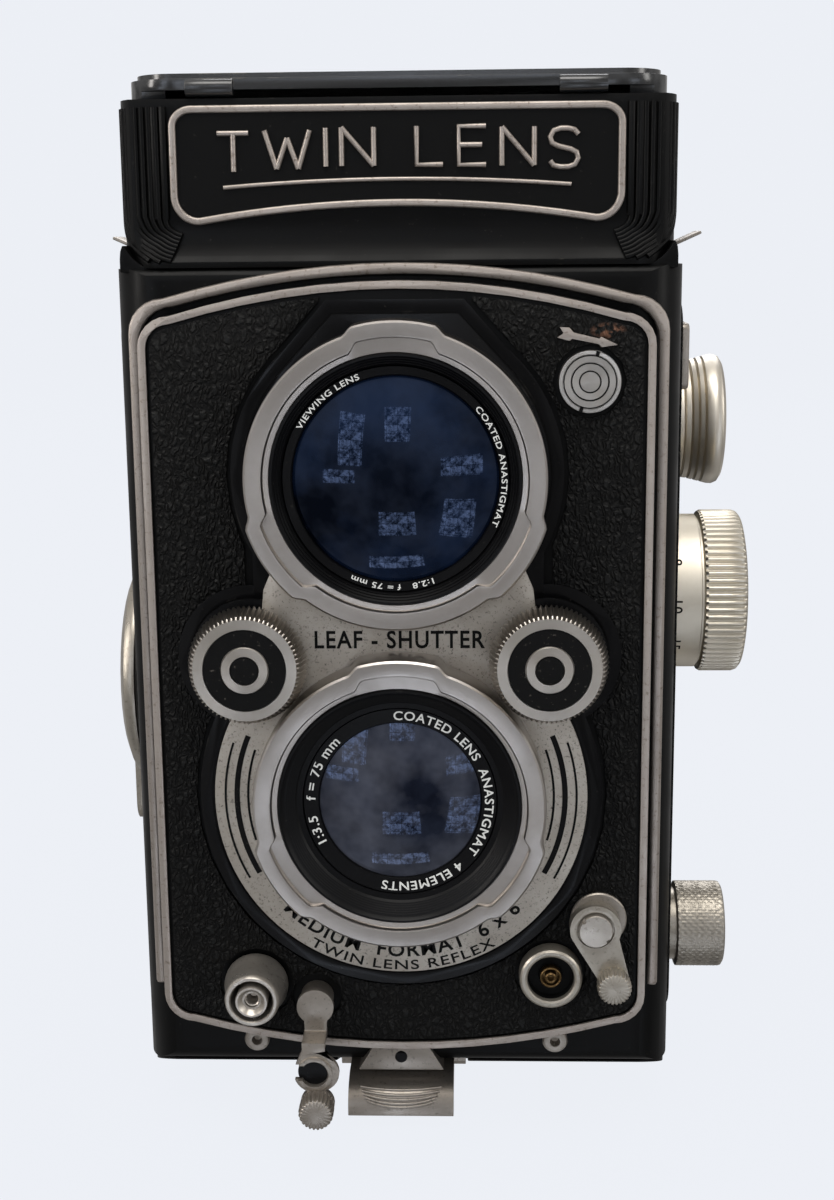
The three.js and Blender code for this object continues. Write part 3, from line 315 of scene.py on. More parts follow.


# ---------------------------------------------------------------------------------------------
# Leather panels are cut from black goatskin and glued on. The grain is a mesh of small pebbles
# drawn out upright into wrinkles about a millimetre apart, shiny on top and matt in the valleys, with painted sheen
# lightening the tops and painted shade darkening the valleys.

def goatskin_named(name):
    """Black pebbled leather. Pebbles are about 0.7 mm across and 1.6 mm long, under finer creases."""
    finish, tree, surface, place = finish_named(name)
    wander = add(tree, "ShaderNodeTexNoise", {"Vector": place, "Scale": 300.0, "Detail": 3.0, "Roughness": 0.6})
    centred = add(tree, "ShaderNodeVectorMath", {0: wander.outputs["Color"], 1: (0.5, 0.5, 0.5)}, operation="SUBTRACT")
    shift = add(tree, "ShaderNodeVectorMath", {0: centred.outputs["Vector"], 1: (0.0028, 0.0028, 0.0028)},
                operation="MULTIPLY")
    moved = add(tree, "ShaderNodeVectorMath", {0: place, 1: shift.outputs["Vector"]}, operation="ADD")
    drawn = add(tree, "ShaderNodeMapping", {"Vector": moved.outputs["Vector"], "Scale": (1500.0, 1500.0, 620.0)})
    pebbles = add(tree, "ShaderNodeTexVoronoi", {"Vector": drawn.outputs["Vector"], "Scale": 1.0, "Randomness": 1.0},
                  feature="DISTANCE_TO_EDGE")
    folds = add(tree, "ShaderNodeTexNoise", {"Vector": drawn.outputs["Vector"], "Scale": 0.55, "Detail": 5.0,
                                             "Roughness": 0.65})
    pores = add(tree, "ShaderNodeTexNoise", {"Vector": place, "Scale": 3000.0, "Detail": 3.0})
    swell = add(tree, "ShaderNodeMapRange", {
        "Value": pebbles.outputs["Distance"], "From Min": 0.0, "From Max": 0.32, "To Min": 0.0, "To Max": 1.0},
        interpolation_type="SMOOTHSTEP")
    height = add(tree, "ShaderNodeMath", {0: folds.outputs["Fac"], 1: 1.5, 2: swell.outputs["Result"]},
                 operation="MULTIPLY_ADD")
    fine = add(tree, "ShaderNodeMath", {0: pores.outputs["Fac"], 1: 0.25, 2: height.outputs["Value"]},
               operation="MULTIPLY_ADD")
    grain = add(tree, "ShaderNodeBump", {"Height": fine.outputs["Value"], "Distance": 0.00022, "Strength": 1.0})
    tree.links.new(grain.outputs["Normal"], surface.inputs["Normal"])
    # Painted light: the pebble tops are coloured lighter as painted sheen and the valleys darker as painted shade; the
    # same mask also makes the tops glossier.
    top = add(tree, "ShaderNodeMapRange", {
        "Value": height.outputs["Value"], "From Min": 0.9, "From Max": 1.9, "To Min": 0.0, "To Max": 1.0})
    tone = add(tree, "ShaderNodeMix", {
        "Factor": top.outputs["Result"], "A": linear("#020202"), "B": linear("#0c0c0b")}, data_type="RGBA")
    rub_spot = add(tree, "ShaderNodeVectorMath", {0: place, 1: (0.0262, -0.0378, 0.1092)}, operation="SUBTRACT")
    spread = add(tree, "ShaderNodeVectorMath", {0: rub_spot.outputs["Vector"], 1: (0.45, 1.0, 1.0)},
                 operation="MULTIPLY")
    reach = add(tree, "ShaderNodeVectorMath", {0: spread.outputs["Vector"]}, operation="LENGTH")
    near = add(tree, "ShaderNodeMapRange", {
        "Value": reach.outputs["Value"], "From Min": 0.0003, "From Max": 0.0011, "To Min": 1.0, "To Max": 0.0})
    torn = add(tree, "ShaderNodeTexNoise", {"Vector": place, "Scale": 1100.0, "Detail": 4.0})
    shreds = add(tree, "ShaderNodeMapRange", {
        "Value": torn.outputs["Fac"], "From Min": 0.46, "From Max": 0.56, "To Min": 0.0, "To Max": 1.0})
    bald = add(tree, "ShaderNodeMath", {0: near.outputs["Result"], 1: shreds.outputs["Result"]}, operation="MULTIPLY")
    worn = add(tree, "ShaderNodeMix", {
        "Factor": bald.outputs["Value"], "A": tone.outputs["Result"], "B": linear("#6b4a38")}, data_type="RGBA")
    tree.links.new(worn.outputs["Result"], surface.inputs["Base Color"])
    gloss = add(tree, "ShaderNodeMapRange", {
        "Value": top.outputs["Result"], "From Min": 0.0, "From Max": 1.0, "To Min": 0.7, "To Max": 0.36})
    tree.links.new(gloss.outputs["Result"], surface.inputs["Roughness"])
    surface.inputs["Specular IOR Level"].default_value = 0.16
    return finish


goatskin = goatskin_named("black_goatskin")
fit(recut("side_leather_left", "left_leather", 0.2), goatskin, "camera", "leather", "side_leather_left")
fit(recut("side_leather_right", "right_leather", 0.2), goatskin, "camera", "leather", "side_leather_right")


# ---------------------------------------------------------------------------------------------
# The front plate is a dished casting that carries both lenses. A narrow line of bare metal frames
# it, and leather fills the plate on each side of the lenses and under them.

fit(recut("front_plate", "front_plate_casting", 0.2), black_enamel, "front_standard", "black_enamel", "front_plate")
fit(recut("plate_trim", "front_plate_line", 0.3), trim_metal, "front_standard", "trim_silver", "plate_trim")
fit(recut("front_leather", "front_leather_panel", 0.2), goatskin, "front_standard", "leather", "front_leather")


# ---------------------------------------------------------------------------------------------
# The lens platform is a glossy black keyhole-shaped plinth around both lenses, with a flat top
# between two straight shoulders, round shoulders under the wheels, and a groove inside its edge.

def middle_of(node):
    low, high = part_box(node)
    return (low + high) / 2


taking_axis = middle_of("taking_glass")
viewing_axis = middle_of("viewing_glass")
left_wheel_axis = middle_of("aperture_wheel")
right_wheel_axis = middle_of("speed_wheel")
platform_low, platform_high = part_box("lens_platform")
tz, vz = taking_axis.z * 1000, viewing_axis.z * 1000


def disc(centre, radius, front, back, sides=200):
    """A short cylinder along Y, closed at both ends, its radius in mm."""
    bpy.ops.object.select_all(action="DESELECT")
    bpy.ops.mesh.primitive_cylinder_add(
        vertices=sides, radius=radius / 1000, depth=back - front,
        location=(centre.x, (front + back) / 2, centre.z), rotation=(math.pi / 2, 0, 0))
    return bpy.context.object


def weld(piece, other, how):
    """Add, cut or trim a solid with another one, which is used up."""
    only(piece)
    change = piece.modifiers.new("weld", "BOOLEAN")
    change.operation = how
    change.solver = "EXACT"
    change.object = other
    bpy.ops.object.modifier_apply(modifier=change.name)
    bpy.data.objects.remove(other)
    return piece


def cleaned(piece):
    """Merge doubled corners and flatten the faces that a weld has cut up."""
    only(piece)
    bpy.ops.object.mode_set(mode="EDIT")
    bpy.ops.mesh.select_all(action="SELECT")
    bpy.ops.mesh.remove_doubles(threshold=0.00001)
    bpy.ops.mesh.dissolve_limited(angle_limit=math.radians(0.5))
    bpy.ops.object.mode_set(mode="OBJECT")
    return piece


def flat_shape(name, outline, front, back):
    """A plate in the XZ plane cut to an outline in mm, between a front and a back depth in metres."""
    mesh = bpy.data.meshes.new(name)
    mesh.from_pydata([(x / 1000, back, z / 1000) for x, z in outline], [], [tuple(range(len(outline)))])
    piece = bpy.data.objects.new(name, mesh)
    bpy.context.collection.objects.link(piece)
    only(piece)
    bpy.ops.object.mode_set(mode="EDIT")
    bpy.ops.mesh.select_all(action="SELECT")
    bpy.ops.mesh.extrude_region_move(TRANSFORM_OT_translate={"value": (0, front - back, 0)})
    bpy.ops.mesh.select_all(action="SELECT")
    bpy.ops.mesh.normals_make_consistent(inside=False)
    bpy.ops.object.mode_set(mode="OBJECT")
    return piece


def plinth(name, inset, front, back):
    """The keyhole outline, drawn in by some mm from the full one."""
    piece = settle(disc(taking_axis, 26.15 - inset, front, back), name)
    weld(piece, disc(viewing_axis, 20.9 - inset, front, back), "UNION")
    weld(piece, disc(left_wheel_axis, 9.4 - inset, front, back, 96), "UNION")
    weld(piece, disc(right_wheel_axis, 9.4 - inset, front, back, 96), "UNION")
    waist = 18.4 - inset
    weld(piece, flat_shape("neck", [(-waist, tz + 20), (waist, tz + 20), (waist, vz - 10), (-waist, vz - 10)],
                           front, back), "UNION")
    top, half = crown - inset, 8.5 - inset * 0.4
    weld(piece, flat_shape("shoulders", [(-16.6 + inset, vz + 12.4), (16.6 - inset, vz + 12.4), (half, top),
                                         (-half, top)], front, back), "UNION")
    return piece


front, back = platform_low.y, platform_high.y
crown = platform_high.z * 1000 - 0.05
platform = plinth("lens_platform_plinth", 0.0, front, back)
weld(platform, plinth("groove_outer", 1.55, front - 0.001, front + 0.0003), "DIFFERENCE")
weld(platform, plinth("groove_fill", 1.8, front + 0.00002, front + 0.0009), "UNION")
for axis in (taking_axis, viewing_axis):
    weld(platform, disc(axis, 15.8, front - 0.001, back + 0.001), "DIFFERENCE")
soften(cleaned(platform), 0.5, 40, 4)
gloss_enamel = enamel_named("gloss_black_enamel", "#050506", 0.16, 0.16, 0.15)
fit(platform, gloss_enamel, "front_standard", "black_enamel", "lens_platform")


# ---------------------------------------------------------------------------------------------
# The shutter shield is a satin aluminium pressing, finely pitted, that lies on the platform around
# the taking lens and reaches up between the wheels to the viewing lens. Its lines and words are
# printed black.

shield_low, shield_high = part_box("shutter_shield")
shield = settle(disc(taking_axis, 24.2, shield_low.y, shield_high.y), "shutter_shield_pressing")
arch = [(-17.6, tz + 17), (17.6, tz + 17), (17.75, tz + 21.5), (17.1, vz - 14.4), (15.9, vz - 11.6), (-15.9, vz - 11.6),
        (-17.1, vz - 14.4), (-17.75, tz + 21.5)]
weld(shield, flat_shape("web", arch, shield_low.y, shield_high.y), "UNION")
weld(shield, disc(viewing_axis, 18.2, shield_low.y - 0.001, shield_high.y + 0.001), "DIFFERENCE")
weld(shield, disc(taking_axis, 16.5, shield_low.y - 0.001, shield_high.y + 0.001), "DIFFERENCE")
soften(cleaned(shield), 0.15, 40, 2)
satin_aluminium = bare_metal_named("satin_aluminium_pressing", "#b9b3aa", "#918a80", 0.46, 3200.0, 0.85, "#2e2a25")
fit(shield, satin_aluminium, "front_standard", "satin_aluminium", "shutter_shield")


def words(name, text, height, wide=1.0, thick=0.03, bold=0.012, apart=1.12):
    """Lettering from the plain built-in type, as a mesh in mm: run along X, stand along Z, its foot at zero."""
    curve = bpy.data.curves.new(name, "FONT")
    curve.body = text
    curve.align_x = "CENTER"
    curve.size = 1.0
    curve.resolution_u = 4
    curve.extrude = 0.01
    curve.offset = bold
    curve.space_character = apart
    line = bpy.data.objects.new(name, curve)
    bpy.context.collection.objects.link(line)
    only(line)
    bpy.ops.object.convert(target="MESH")
    line = bpy.context.object
    tall = max(corner.co.y for corner in line.data.vertices)
    for corner in line.data.vertices:
        x, y, z = corner.co
        corner.co = (x * height / tall * wide, -z * thick / 0.01, y * height / tall)
    return line


def laid(line, centre, depth, radius=None, at=0.0, tops_out=True, rise=0.0):
    """Lay lettering on a face at some depth: straight, or bent round a centre with its middle at an angle."""
    for corner in line.data.vertices:
        u, w, v = corner.co
        if radius is None:
            x, z = u, v + rise
        elif tops_out:
            angle = math.radians(at) - u / radius
            x, z = (radius + v) * math.cos(angle), (radius + v) * math.sin(angle)
        else:
            angle = math.radians(at) + u / radius
            x, z = (radius - v) * math.cos(angle), (radius - v) * math.sin(angle)
        corner.co = (centre.x + x / 1000, depth + w / 1000, centre.z + z / 1000)
    only(line)
    bpy.ops.object.mode_set(mode="EDIT")
    bpy.ops.mesh.select_all(action="SELECT")
    bpy.ops.mesh.remove_doubles(threshold=0.000001)
    bpy.ops.mesh.normals_make_consistent(inside=False)
    bpy.ops.object.mode_set(mode="OBJECT")
    return line


def band(name, centre, depth, inner, outer, start, stop, thick=0.05):
    """A printed line bent round a centre, between two radii in mm and two angles."""
    steps = 28
    ring = []
    for k in range(steps + 1):
        a = math.radians(start + (stop - start) * k / steps)
        ring.append((inner * math.cos(a), inner * math.sin(a)))
    for k in range(steps, -1, -1):
        a = math.radians(start + (stop - start) * k / steps)
        ring.append((outer * math.cos(a), outer * math.sin(a)))
    outline = [(x + centre.x * 1000, z + centre.z * 1000) for x, z in ring]
    return flat_shape(name, outline, depth - thick / 1000, depth + thick / 1000)


def joined(name, pieces):
    """Make several meshes into one piece."""
    bpy.ops.object.select_all(action="DESELECT")
    for one in pieces:
        one.select_set(True)
    bpy.context.view_layer.objects.active = pieces[0]
    bpy.ops.object.join()
    return settle(pieces[0], name)


def paint_named(name, colour, chips):
    """Paint filled into a metal face: matt, a little uneven, with the metal showing through where chipped."""
    finish, tree, surface, place = finish_named(name)
    grit = add(tree, "ShaderNodeTexNoise", {"Vector": place, "Scale": 2400.0, "Detail": 3.0})
    chip = add(tree, "ShaderNodeMapRange", {
        "Value": grit.outputs["Fac"], "From Min": 0.66, "From Max": 0.74, "To Min": 0.0, "To Max": chips})
    tone = add(tree, "ShaderNodeMix", {
        "Factor": chip.outputs["Result"], "A": linear(colour), "B": linear("#7a746b")}, data_type="RGBA")
    tree.links.new(tone.outputs["Result"], surface.inputs["Base Color"])
    haze = add(tree, "ShaderNodeMapRange", {
        "Value": grit.outputs["Fac"], "From Min": 0.3, "From Max": 0.7, "To Min": 0.45, "To Max": 0.65})
    tree.links.new(haze.outputs["Result"], surface.inputs["Roughness"])
    surface.inputs["Specular IOR Level"].default_value = 0.1
    return finish


black_paint = paint_named("black_fill_paint", "#080808", 0.25)
face = shield_low.y
shutter_name = words("shutter_name", "LEAF - SHUTTER", 2.25, 0.86, bold=0.02)
printed = [laid(shutter_name, Vector((0, 0, taking_axis.z)), face, rise=20.0)]
for mirror in (0, 1):
    for inner, outer, start, stop in ((22.66, 22.94, 161, 209), (20.95, 21.65, 157, 209), (19.7, 20.0, 161, 197)):
        a, b = (start, stop) if not mirror else (180 - stop, 180 - start)
        printed.append(band("line", taking_axis, face, inner, outer, a, b))
format_name = words("format_name", "MEDIUM  FORMAT  6 x 6", 1.9, 1.1, bold=0.02)
printed.append(laid(format_name, taking_axis, face, 22.0, -90, False))
printed.append(laid(words("kind_name", "TWIN LENS REFLEX", 1.3, 1.45), taking_axis, face, 23.85, -90, False))
fit(joined("shield_printing", printed), black_paint, "front_standard", "black_enamel")


# ---------------------------------------------------------------------------------------------
# The bayonet bezels are turned brass, nickel plated and bright. Three lugs stand out at the top
# and at about four and eight o'clock, each with a matching recess on the inside.

def turned(name, centre, axis, rings, sides=96, hollow=False, crease=28):
    """Turned work: a ring of vertices is drawn, then extruded to each next radius and depth in mm along an axis."""
    turn_by = {"X": (0, math.pi / 2, 0), "Y": (math.pi / 2, 0, 0), "Z": (0, 0, 0)}[axis]
    along = {"X": Vector((1, 0, 0)), "Y": Vector((0, 1, 0)), "Z": Vector((0, 0, 1))}[axis]
    radius, depth = rings[0]
    spot = Vector(centre) - along * Vector(centre).dot(along) + along * depth / 1000
    bpy.ops.object.select_all(action="DESELECT")
    bpy.ops.mesh.primitive_circle_add(vertices=sides, radius=radius / 1000, location=spot, rotation=turn_by,
                                      fill_type="NOTHING" if hollow else "NGON")
    piece = settle(bpy.context.object, name)
    bpy.ops.object.mode_set(mode="EDIT")
    bpy.ops.mesh.select_all(action="SELECT")
    for next_radius, next_depth in rings[1:]:
        bpy.ops.mesh.extrude_region_move(TRANSFORM_OT_translate={"value": along * (next_depth - depth) / 1000})
        if next_radius != radius:
            size = max(next_radius, 0.004) / radius
            bpy.ops.transform.resize(value=(size, size, size))
        radius, depth = max(next_radius, 0.004), next_depth
    bpy.ops.mesh.select_all(action="SELECT")
    bpy.ops.mesh.remove_doubles(threshold=0.000004)
    bpy.ops.mesh.normals_make_consistent(inside=False)
    bpy.ops.object.mode_set(mode="OBJECT")
    bpy.ops.object.shade_smooth_by_angle(angle=math.radians(crease))
    return piece


def lug_share(angle):
    """How far a bezel's edge has moved out at an angle: 1 on a lug, 0 between lugs, with a short ramp."""
    share = 0.0
    for lug in (90, 213, 327):
        off = abs((math.degrees(angle) - lug + 180) % 360 - 180)
        share = max(share, min(1.0, max(0.0, (19.0 - off) / 3.5)))
    return share


def bayonet(name, centre, seat):
    """A bezel ring whose front lip and outer edge step out at the three lugs."""
    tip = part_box(name)[0].y * 1000
    ring = turned(name + "_ring", centre, "Y", [
        (15.66, seat), (18.75, seat), (18.75, tip + 0.75), (18.65, tip + 0.3), (18.4, tip + 0.03), (16.75, tip),
        (16.45, tip + 0.06), (16.3, tip + 0.3), (16.25, tip + 0.95), (15.66, tip + 1.1), (15.66, seat),
    ], sides=240, hollow=True)
    for corner in ring.data.vertices:
        x, z = corner.co.x - centre.x, corner.co.z - centre.z
        radius = math.hypot(x, z)
        share = lug_share(math.atan2(z, x))
        if radius > 0.0175:
            grown = radius + 0.0008 * share
        elif radius > 0.0161:
            grown = radius + 0.0011 * share
        else:
            continue
        corner.co.x = centre.x + x * grown / radius
        corner.co.z = centre.z + z * grown / radius
    return ring


def lathed_named(name, colour, dark, rough, centre, turn_to, pitch):
    """Plated turned metal: the tool has left fine rings about an axis, and rubbing has dulled it in patches.
    The rings draw each highlight out across them, so it fans from the centre; uneven cuts show along them."""
    finish, tree, surface, place = finish_named(name)
    cloud = add(tree, "ShaderNodeTexNoise", {"Vector": place, "Scale": 110.0, "Detail": 6.0, "Roughness": 0.6})
    haze = add(tree, "ShaderNodeMapRange", {
        "Value": cloud.outputs["Fac"], "From Min": 0.35, "From Max": 0.7, "To Min": rough, "To Max": rough + 0.14})
    tree.links.new(haze.outputs["Result"], surface.inputs["Roughness"])
    tone = add(tree, "ShaderNodeMix", {
        "Factor": cloud.outputs["Fac"], "A": linear(colour), "B": linear(dark)}, data_type="RGBA")
    tree.links.new(tone.outputs["Result"], surface.inputs["Base Color"])
    surface.inputs["Metallic"].default_value = 1.0
    spot = add(tree, "ShaderNodeVectorMath", {0: place, 1: tuple(centre)}, operation="SUBTRACT")
    along = {"X": (1, 0, 0), "Y": (0, 1, 0), "Z": (0, 0, 1)}[turn_to]
    tool_path = add(tree, "ShaderNodeVectorMath", {0: spot.outputs["Vector"], 1: along}, operation="CROSS_PRODUCT")
    tree.links.new(tool_path.outputs["Vector"], surface.inputs["Tangent"])
    surface.inputs["Anisotropic"].default_value = 0.7
    reach = add(tree, "ShaderNodeVectorMath", {0: tool_path.outputs["Vector"]}, operation="LENGTH")
    lines = add(tree, "ShaderNodeCombineXYZ", {"X": reach.outputs["Value"]})
    cuts = add(tree, "ShaderNodeTexNoise", {"Vector": lines.outputs["Vector"], "Scale": 0.5 / pitch, "Detail": 2.0})
    hair = add(tree, "ShaderNodeBump", {"Height": cuts.outputs["Fac"], "Distance": 0.00001, "Strength": 0.35})
    tree.links.new(hair.outputs["Normal"], surface.inputs["Normal"])
    return finish


seat = shield_low.y * 1000 - 0.02
for lens, centre in (("taking", taking_axis), ("viewing", viewing_axis)):
    plate = lathed_named(lens + "_bezel_nickel_plate", "#cbc6c2", "#8e8882", 0.3, centre, "Y", 0.00025)
    fit(bayonet(lens + "_bezel", centre, seat), plate, "front_standard", "chrome", lens + "_bezel")


# ---------------------------------------------------------------------------------------------
# The lens barrels are turned brass, blackened, stepping down to the ring that holds the glass.
# A fine screw thread inside the rim takes a filter, and the ring carries small white figures.

blackened_brass = enamel_named("blackened_brass", "#040405", 0.34, 0.14, 0.0)
white_paint = paint_named("white_fill_paint", "#c9c9c4", 0.3)

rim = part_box("viewing_barrel")[0].y * 1000
viewing_barrel = turned("viewing_barrel_turning", viewing_axis, "Y", [
    (15.6, seat), (15.6, rim + 0.5), (15.45, rim + 0.25), (15.2, rim + 0.2), (15.0, rim + 0.45), (14.9, rim + 0.4),
    (14.7, rim + 0.65), (14.6, rim + 0.6), (14.4, rim + 0.85), (14.3, rim + 0.8), (14.1, rim + 1.1), (14.0, rim + 1.5),
    (13.9, rim + 1.1), (12.95, rim + 1.15), (12.8, rim + 1.35), (12.8, rim + 3.0), (15.0, rim + 3.2), (15.6, seat),
], sides=192, hollow=True)
fit(viewing_barrel, blackened_brass, "front_standard", "black_enamel", "viewing_barrel")

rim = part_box("taking_barrel")[0].y * 1000
rings = [(15.6, seat), (15.6, rim + 0.5), (15.45, rim + 0.25), (15.2, rim + 0.2), (14.9, rim + 0.5)]
for turn_of_thread in range(6):
    r, y = 14.75 - 0.2 * turn_of_thread, rim + 0.6 + 0.3 * turn_of_thread
    rings += [(r, y), (r - 0.22, y + 0.1), (r - 0.1, y + 0.2)]
rings += [(13.3, rim + 2.6), (12.6, rim + 2.7), (12.5, rim + 3.0), (12.4, rim + 2.85), (10.6, rim + 3.15),
          (10.45, rim + 3.4), (10.45, rim + 4.3), (15.0, rim + 4.4), (15.6, seat)]
fit(turned("taking_barrel_turning", taking_axis, "Y", rings, sides=192, hollow=True), blackened_brass,
    "front_standard", "black_enamel", "taking_barrel")

figures = [
    laid(words("aperture_range", "1:3.5   f = 75 mm", 1.25, 1.05), taking_axis, (rim + 2.93) / 1000, 10.95, 172),
    laid(words("glass_kind", "COATED LENS  ANASTIGMAT", 1.15, 1.05), taking_axis, (rim + 2.93) / 1000, 10.95, 28),
    laid(words("group_count", "4 ELEMENTS", 1.2, 1.05), taking_axis, (rim + 2.93) / 1000, 10.95, -75),
]
fit(joined("taking_lens_figures", figures), white_paint, "front_standard", "black_enamel")
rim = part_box("viewing_barrel")[0].y * 1000
figures = [
    laid(words("viewing_aperture", "1:2.8   f = 75 mm", 0.72, 1.3), viewing_axis, (rim + 1.1) / 1000, 13.05, -92),
    laid(words("viewing_kind", "VIEWING LENS", 0.72, 1.3), viewing_axis, (rim + 1.1) / 1000, 13.05, 130),
    laid(words("viewing_glass_kind", "COATED ANASTIGMAT", 0.72, 1.3), viewing_axis, (rim + 1.1) / 1000, 13.05, 8),
]
fit(joined("viewing_lens_figures", figures), white_paint, "front_standard", "black_enamel")


# ---------------------------------------------------------------------------------------------
# The front elements are ground optical glass with a soft blue anti-reflection coating. They bulge
# well forward, over a dark cell.

def coated_glass_named(name, centre, deep, haze, cloudy, reflection_at_centre):
    """Coated glass over a black cell: a sharp blue-tinted reflection on a nearly black ground. The haze colour is
    painted reflection, laid in patches and rising from a centre share to full at the rim.
    """
    finish, tree, surface, place = finish_named(name)
    depth = add(tree, "ShaderNodeTexNoise", {"Vector": place, "Scale": 85.0, "Detail": 4.0, "Roughness": 0.6})
    spot = add(tree, "ShaderNodeVectorMath", {0: place, 1: (centre.x, 0, centre.z)}, operation="SUBTRACT")
    plan = add(tree, "ShaderNodeVectorMath", {0: spot.outputs["Vector"], 1: (1, 0, 1)}, operation="MULTIPLY")
    reach = add(tree, "ShaderNodeVectorMath", {0: plan.outputs["Vector"]}, operation="LENGTH")
    reflection_towards_rim = add(tree, "ShaderNodeMapRange", {
        "Value": reach.outputs["Value"], "From Min": 0.002, "From Max": 0.009, "To Min": reflection_at_centre, "To Max": 1.0})
    # Painted reflection: the haze colour is mixed into the glass colour in noise patches, standing for light caught in
    # the lens.
    reflection_patches = add(tree, "ShaderNodeMapRange", {
        "Value": depth.outputs["Fac"], "From Min": 0.36, "From Max": 0.66, "To Min": 0.0, "To Max": cloudy})
    painted_reflection_mix = add(tree, "ShaderNodeMath", {0: reflection_patches.outputs["Result"], 1: reflection_towards_rim.outputs["Result"]},
               operation="MULTIPLY")
    tone = add(tree, "ShaderNodeMix", {
        "Factor": painted_reflection_mix.outputs["Value"], "A": linear(deep), "B": linear(haze)}, data_type="RGBA")
    tree.links.new(tone.outputs["Result"], surface.inputs["Base Color"])
    surface.inputs["Roughness"].default_value = 0.03
    surface.inputs["IOR"].default_value = 1.62
    surface.inputs["Specular IOR Level"].default_value = 0.26
    surface.inputs["Specular Tint"].default_value = linear("#b4ccff")
    return finish


# Each lens: its black ground, its painted reflection colour, the strength of the patches, and the share of painted
# reflection at the centre.
for lens, centre, radius, bulge, edge, colours in (
        ("taking", taking_axis, 10.4, 1.9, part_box("taking_barrel")[0].y * 1000 + 3.5, ("#0a0c14", "#43454d", 1.0, 1.0)),
        ("viewing", viewing_axis, 12.75, 3.0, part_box("viewing_barrel")[0].y * 1000 + 1.7,
         ("#010206", "#0d1729", 1.0, 0.1))):
    rings = [(radius, edge + 0.7), (radius, edge)]
    for step in range(1, 25):
        r = radius * math.cos(math.pi / 2 * step / 24)
        rings.append((r, edge - bulge * (1 - (r / radius) ** 2)))
    dome = turned(lens + "_glass_element", centre, "Y", rings, sides=160)
    only(dome)
    bpy.ops.object.shade_smooth()
    coated = coated_glass_named(lens + "_coated_glass", centre, *colours)
    fit(dome, coated, "front_standard", "lens_glass", lens + "_glass")


# ---------------------------------------------------------------------------------------------
# The two setting wheels have a tapered rim cut with fine teeth, a bright ring, a black painted
# ring, and a bright raised cap with a black centre.

def toothed(piece, centre, axis, teeth, cut, inner, outer, rows=None, flat=2.2):
    """Cut teeth into a round edge: each vertex between two radii goes in by a share of the cut, tooth by tooth."""
    a, b = {"X": (1, 2), "Y": (0, 2), "Z": (0, 1)}[axis]
    c = {"X": 0, "Y": 1, "Z": 2}[axis]
    for corner in piece.data.vertices:
        if rows and not rows[0] <= corner.co[c] * 1000 <= rows[1]:
            continue
        u, v = corner.co[a] - centre[a], corner.co[b] - centre[b]
        radius = math.hypot(u, v)
        if not inner <= radius * 1000 <= outer:
            continue
        phase = (math.atan2(v, u) / (2 * math.pi) * teeth) % 1.0
        share = min(1.0, max(0.0, abs(phase * 2 - 1) * flat - flat * 0.3))
        scale = (radius - cut / 1000 * share) / radius
        corner.co[a] = centre[a] + u * scale
        corner.co[b] = centre[b] + v * scale
    return piece


nickel = bare_metal_named("satin_nickel_plate", "#b3aca1", "#858076", 0.34, 1800.0, 0.4)
for side, body, centre in (("aperture", "aperture_wheel", left_wheel_axis), ("speed", "speed_wheel", right_wheel_axis)):
    low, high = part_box(body)
    tip, root = low.y * 1000, high.y * 1000
    plate = lathed_named(side + "_wheel_nickel_plate", "#cfcac3", "#979087", 0.32, centre, "Y", 0.0003)
    wheel = turned(side + "_wheel_rim", centre, "Y", [
        (2.4, root), (6.3, root - 0.4), (6.3, root - 2.0), (7.5, root - 2.5), (7.55, root - 3.2), (7.1, tip + 1.0),
        (6.85, tip + 0.35), (6.5, tip + 0.05), (5.25, tip), (5.2, tip + 0.35),
    ], sides=360)
    toothed(wheel, centre, "Y", 72, 0.38, 6.84, 7.7)
    fit(wheel, plate, body, "nickel", body)
    ring = turned(side + "_wheel_black_ring", centre, "Y", [
        (5.18, tip + 0.6), (5.18, tip + 0.12), (3.05, tip + 0.12), (3.05, tip + 0.6)], sides=96)
    fit(ring, black_paint, body, "black_enamel")
    cap = turned(side + "_wheel_cap_ring", centre, "Y", [
        (3.0, tip + 0.5), (3.0, tip + 0.05), (2.9, tip - 0.08), (1.85, tip - 0.14), (1.8, tip), (1.75, tip + 0.3)],
        sides=96)
    fit(cap, plate, body, "satin_aluminium", body + "_cap")
    dot = turned(side + "_wheel_black_dot", centre, "Y", [
        (1.74, tip + 0.4), (1.74, tip), (1.5, tip - 0.03), (0, tip - 0.03)], sides=48)
    fit(dot, black_paint, body, "black_enamel")


# ---------------------------------------------------------------------------------------------
# A slotted cap closes the self-timer's hole. It is turned aluminium with concentric steps and two
# spanner notches, and above it a little inlaid arrow shows which way to wind.

cap_axis = middle_of("slotted_cap")
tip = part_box("slotted_cap")[0].y * 1000
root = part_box("slotted_cap")[1].y * 1000
cap = turned("slotted_cap_turning", cap_axis, "Y", [
    (3.9, root), (3.9, tip + 0.3), (3.82, tip + 0.15), (3.4, tip + 0.1), (3.35, tip + 0.35), (3.2, tip + 0.35),
    (3.15, tip + 0.08), (2.42, tip + 0.1), (2.36, tip + 0.33), (2.22, tip + 0.33), (2.18, tip + 0.04),
    (1.42, tip + 0.08),
    (1.36, tip + 0.3), (1.24, tip + 0.3), (1.2, tip + 0.02), (0.3, tip), (0, tip)], sides=144)
for angle in (74, 252):
    a = math.radians(angle)
    notch = disc(cap_axis + Vector((math.cos(a) * 0.0039, 0, math.sin(a) * 0.0039)), 0.36, tip / 1000 - 0.001,
                 tip / 1000 + 0.0009, 16)
    weld(cap, notch, "DIFFERENCE")
only(cap)
bpy.ops.object.shade_smooth_by_angle(angle=math.radians(28))
cap_plate = lathed_named("cap_turned_aluminium", "#d6d3cf", "#a8a49e", 0.26, cap_axis, "Y", 0.0003)
fit(cap, cap_plate, "front_standard", "satin_aluminium", "slotted_cap")

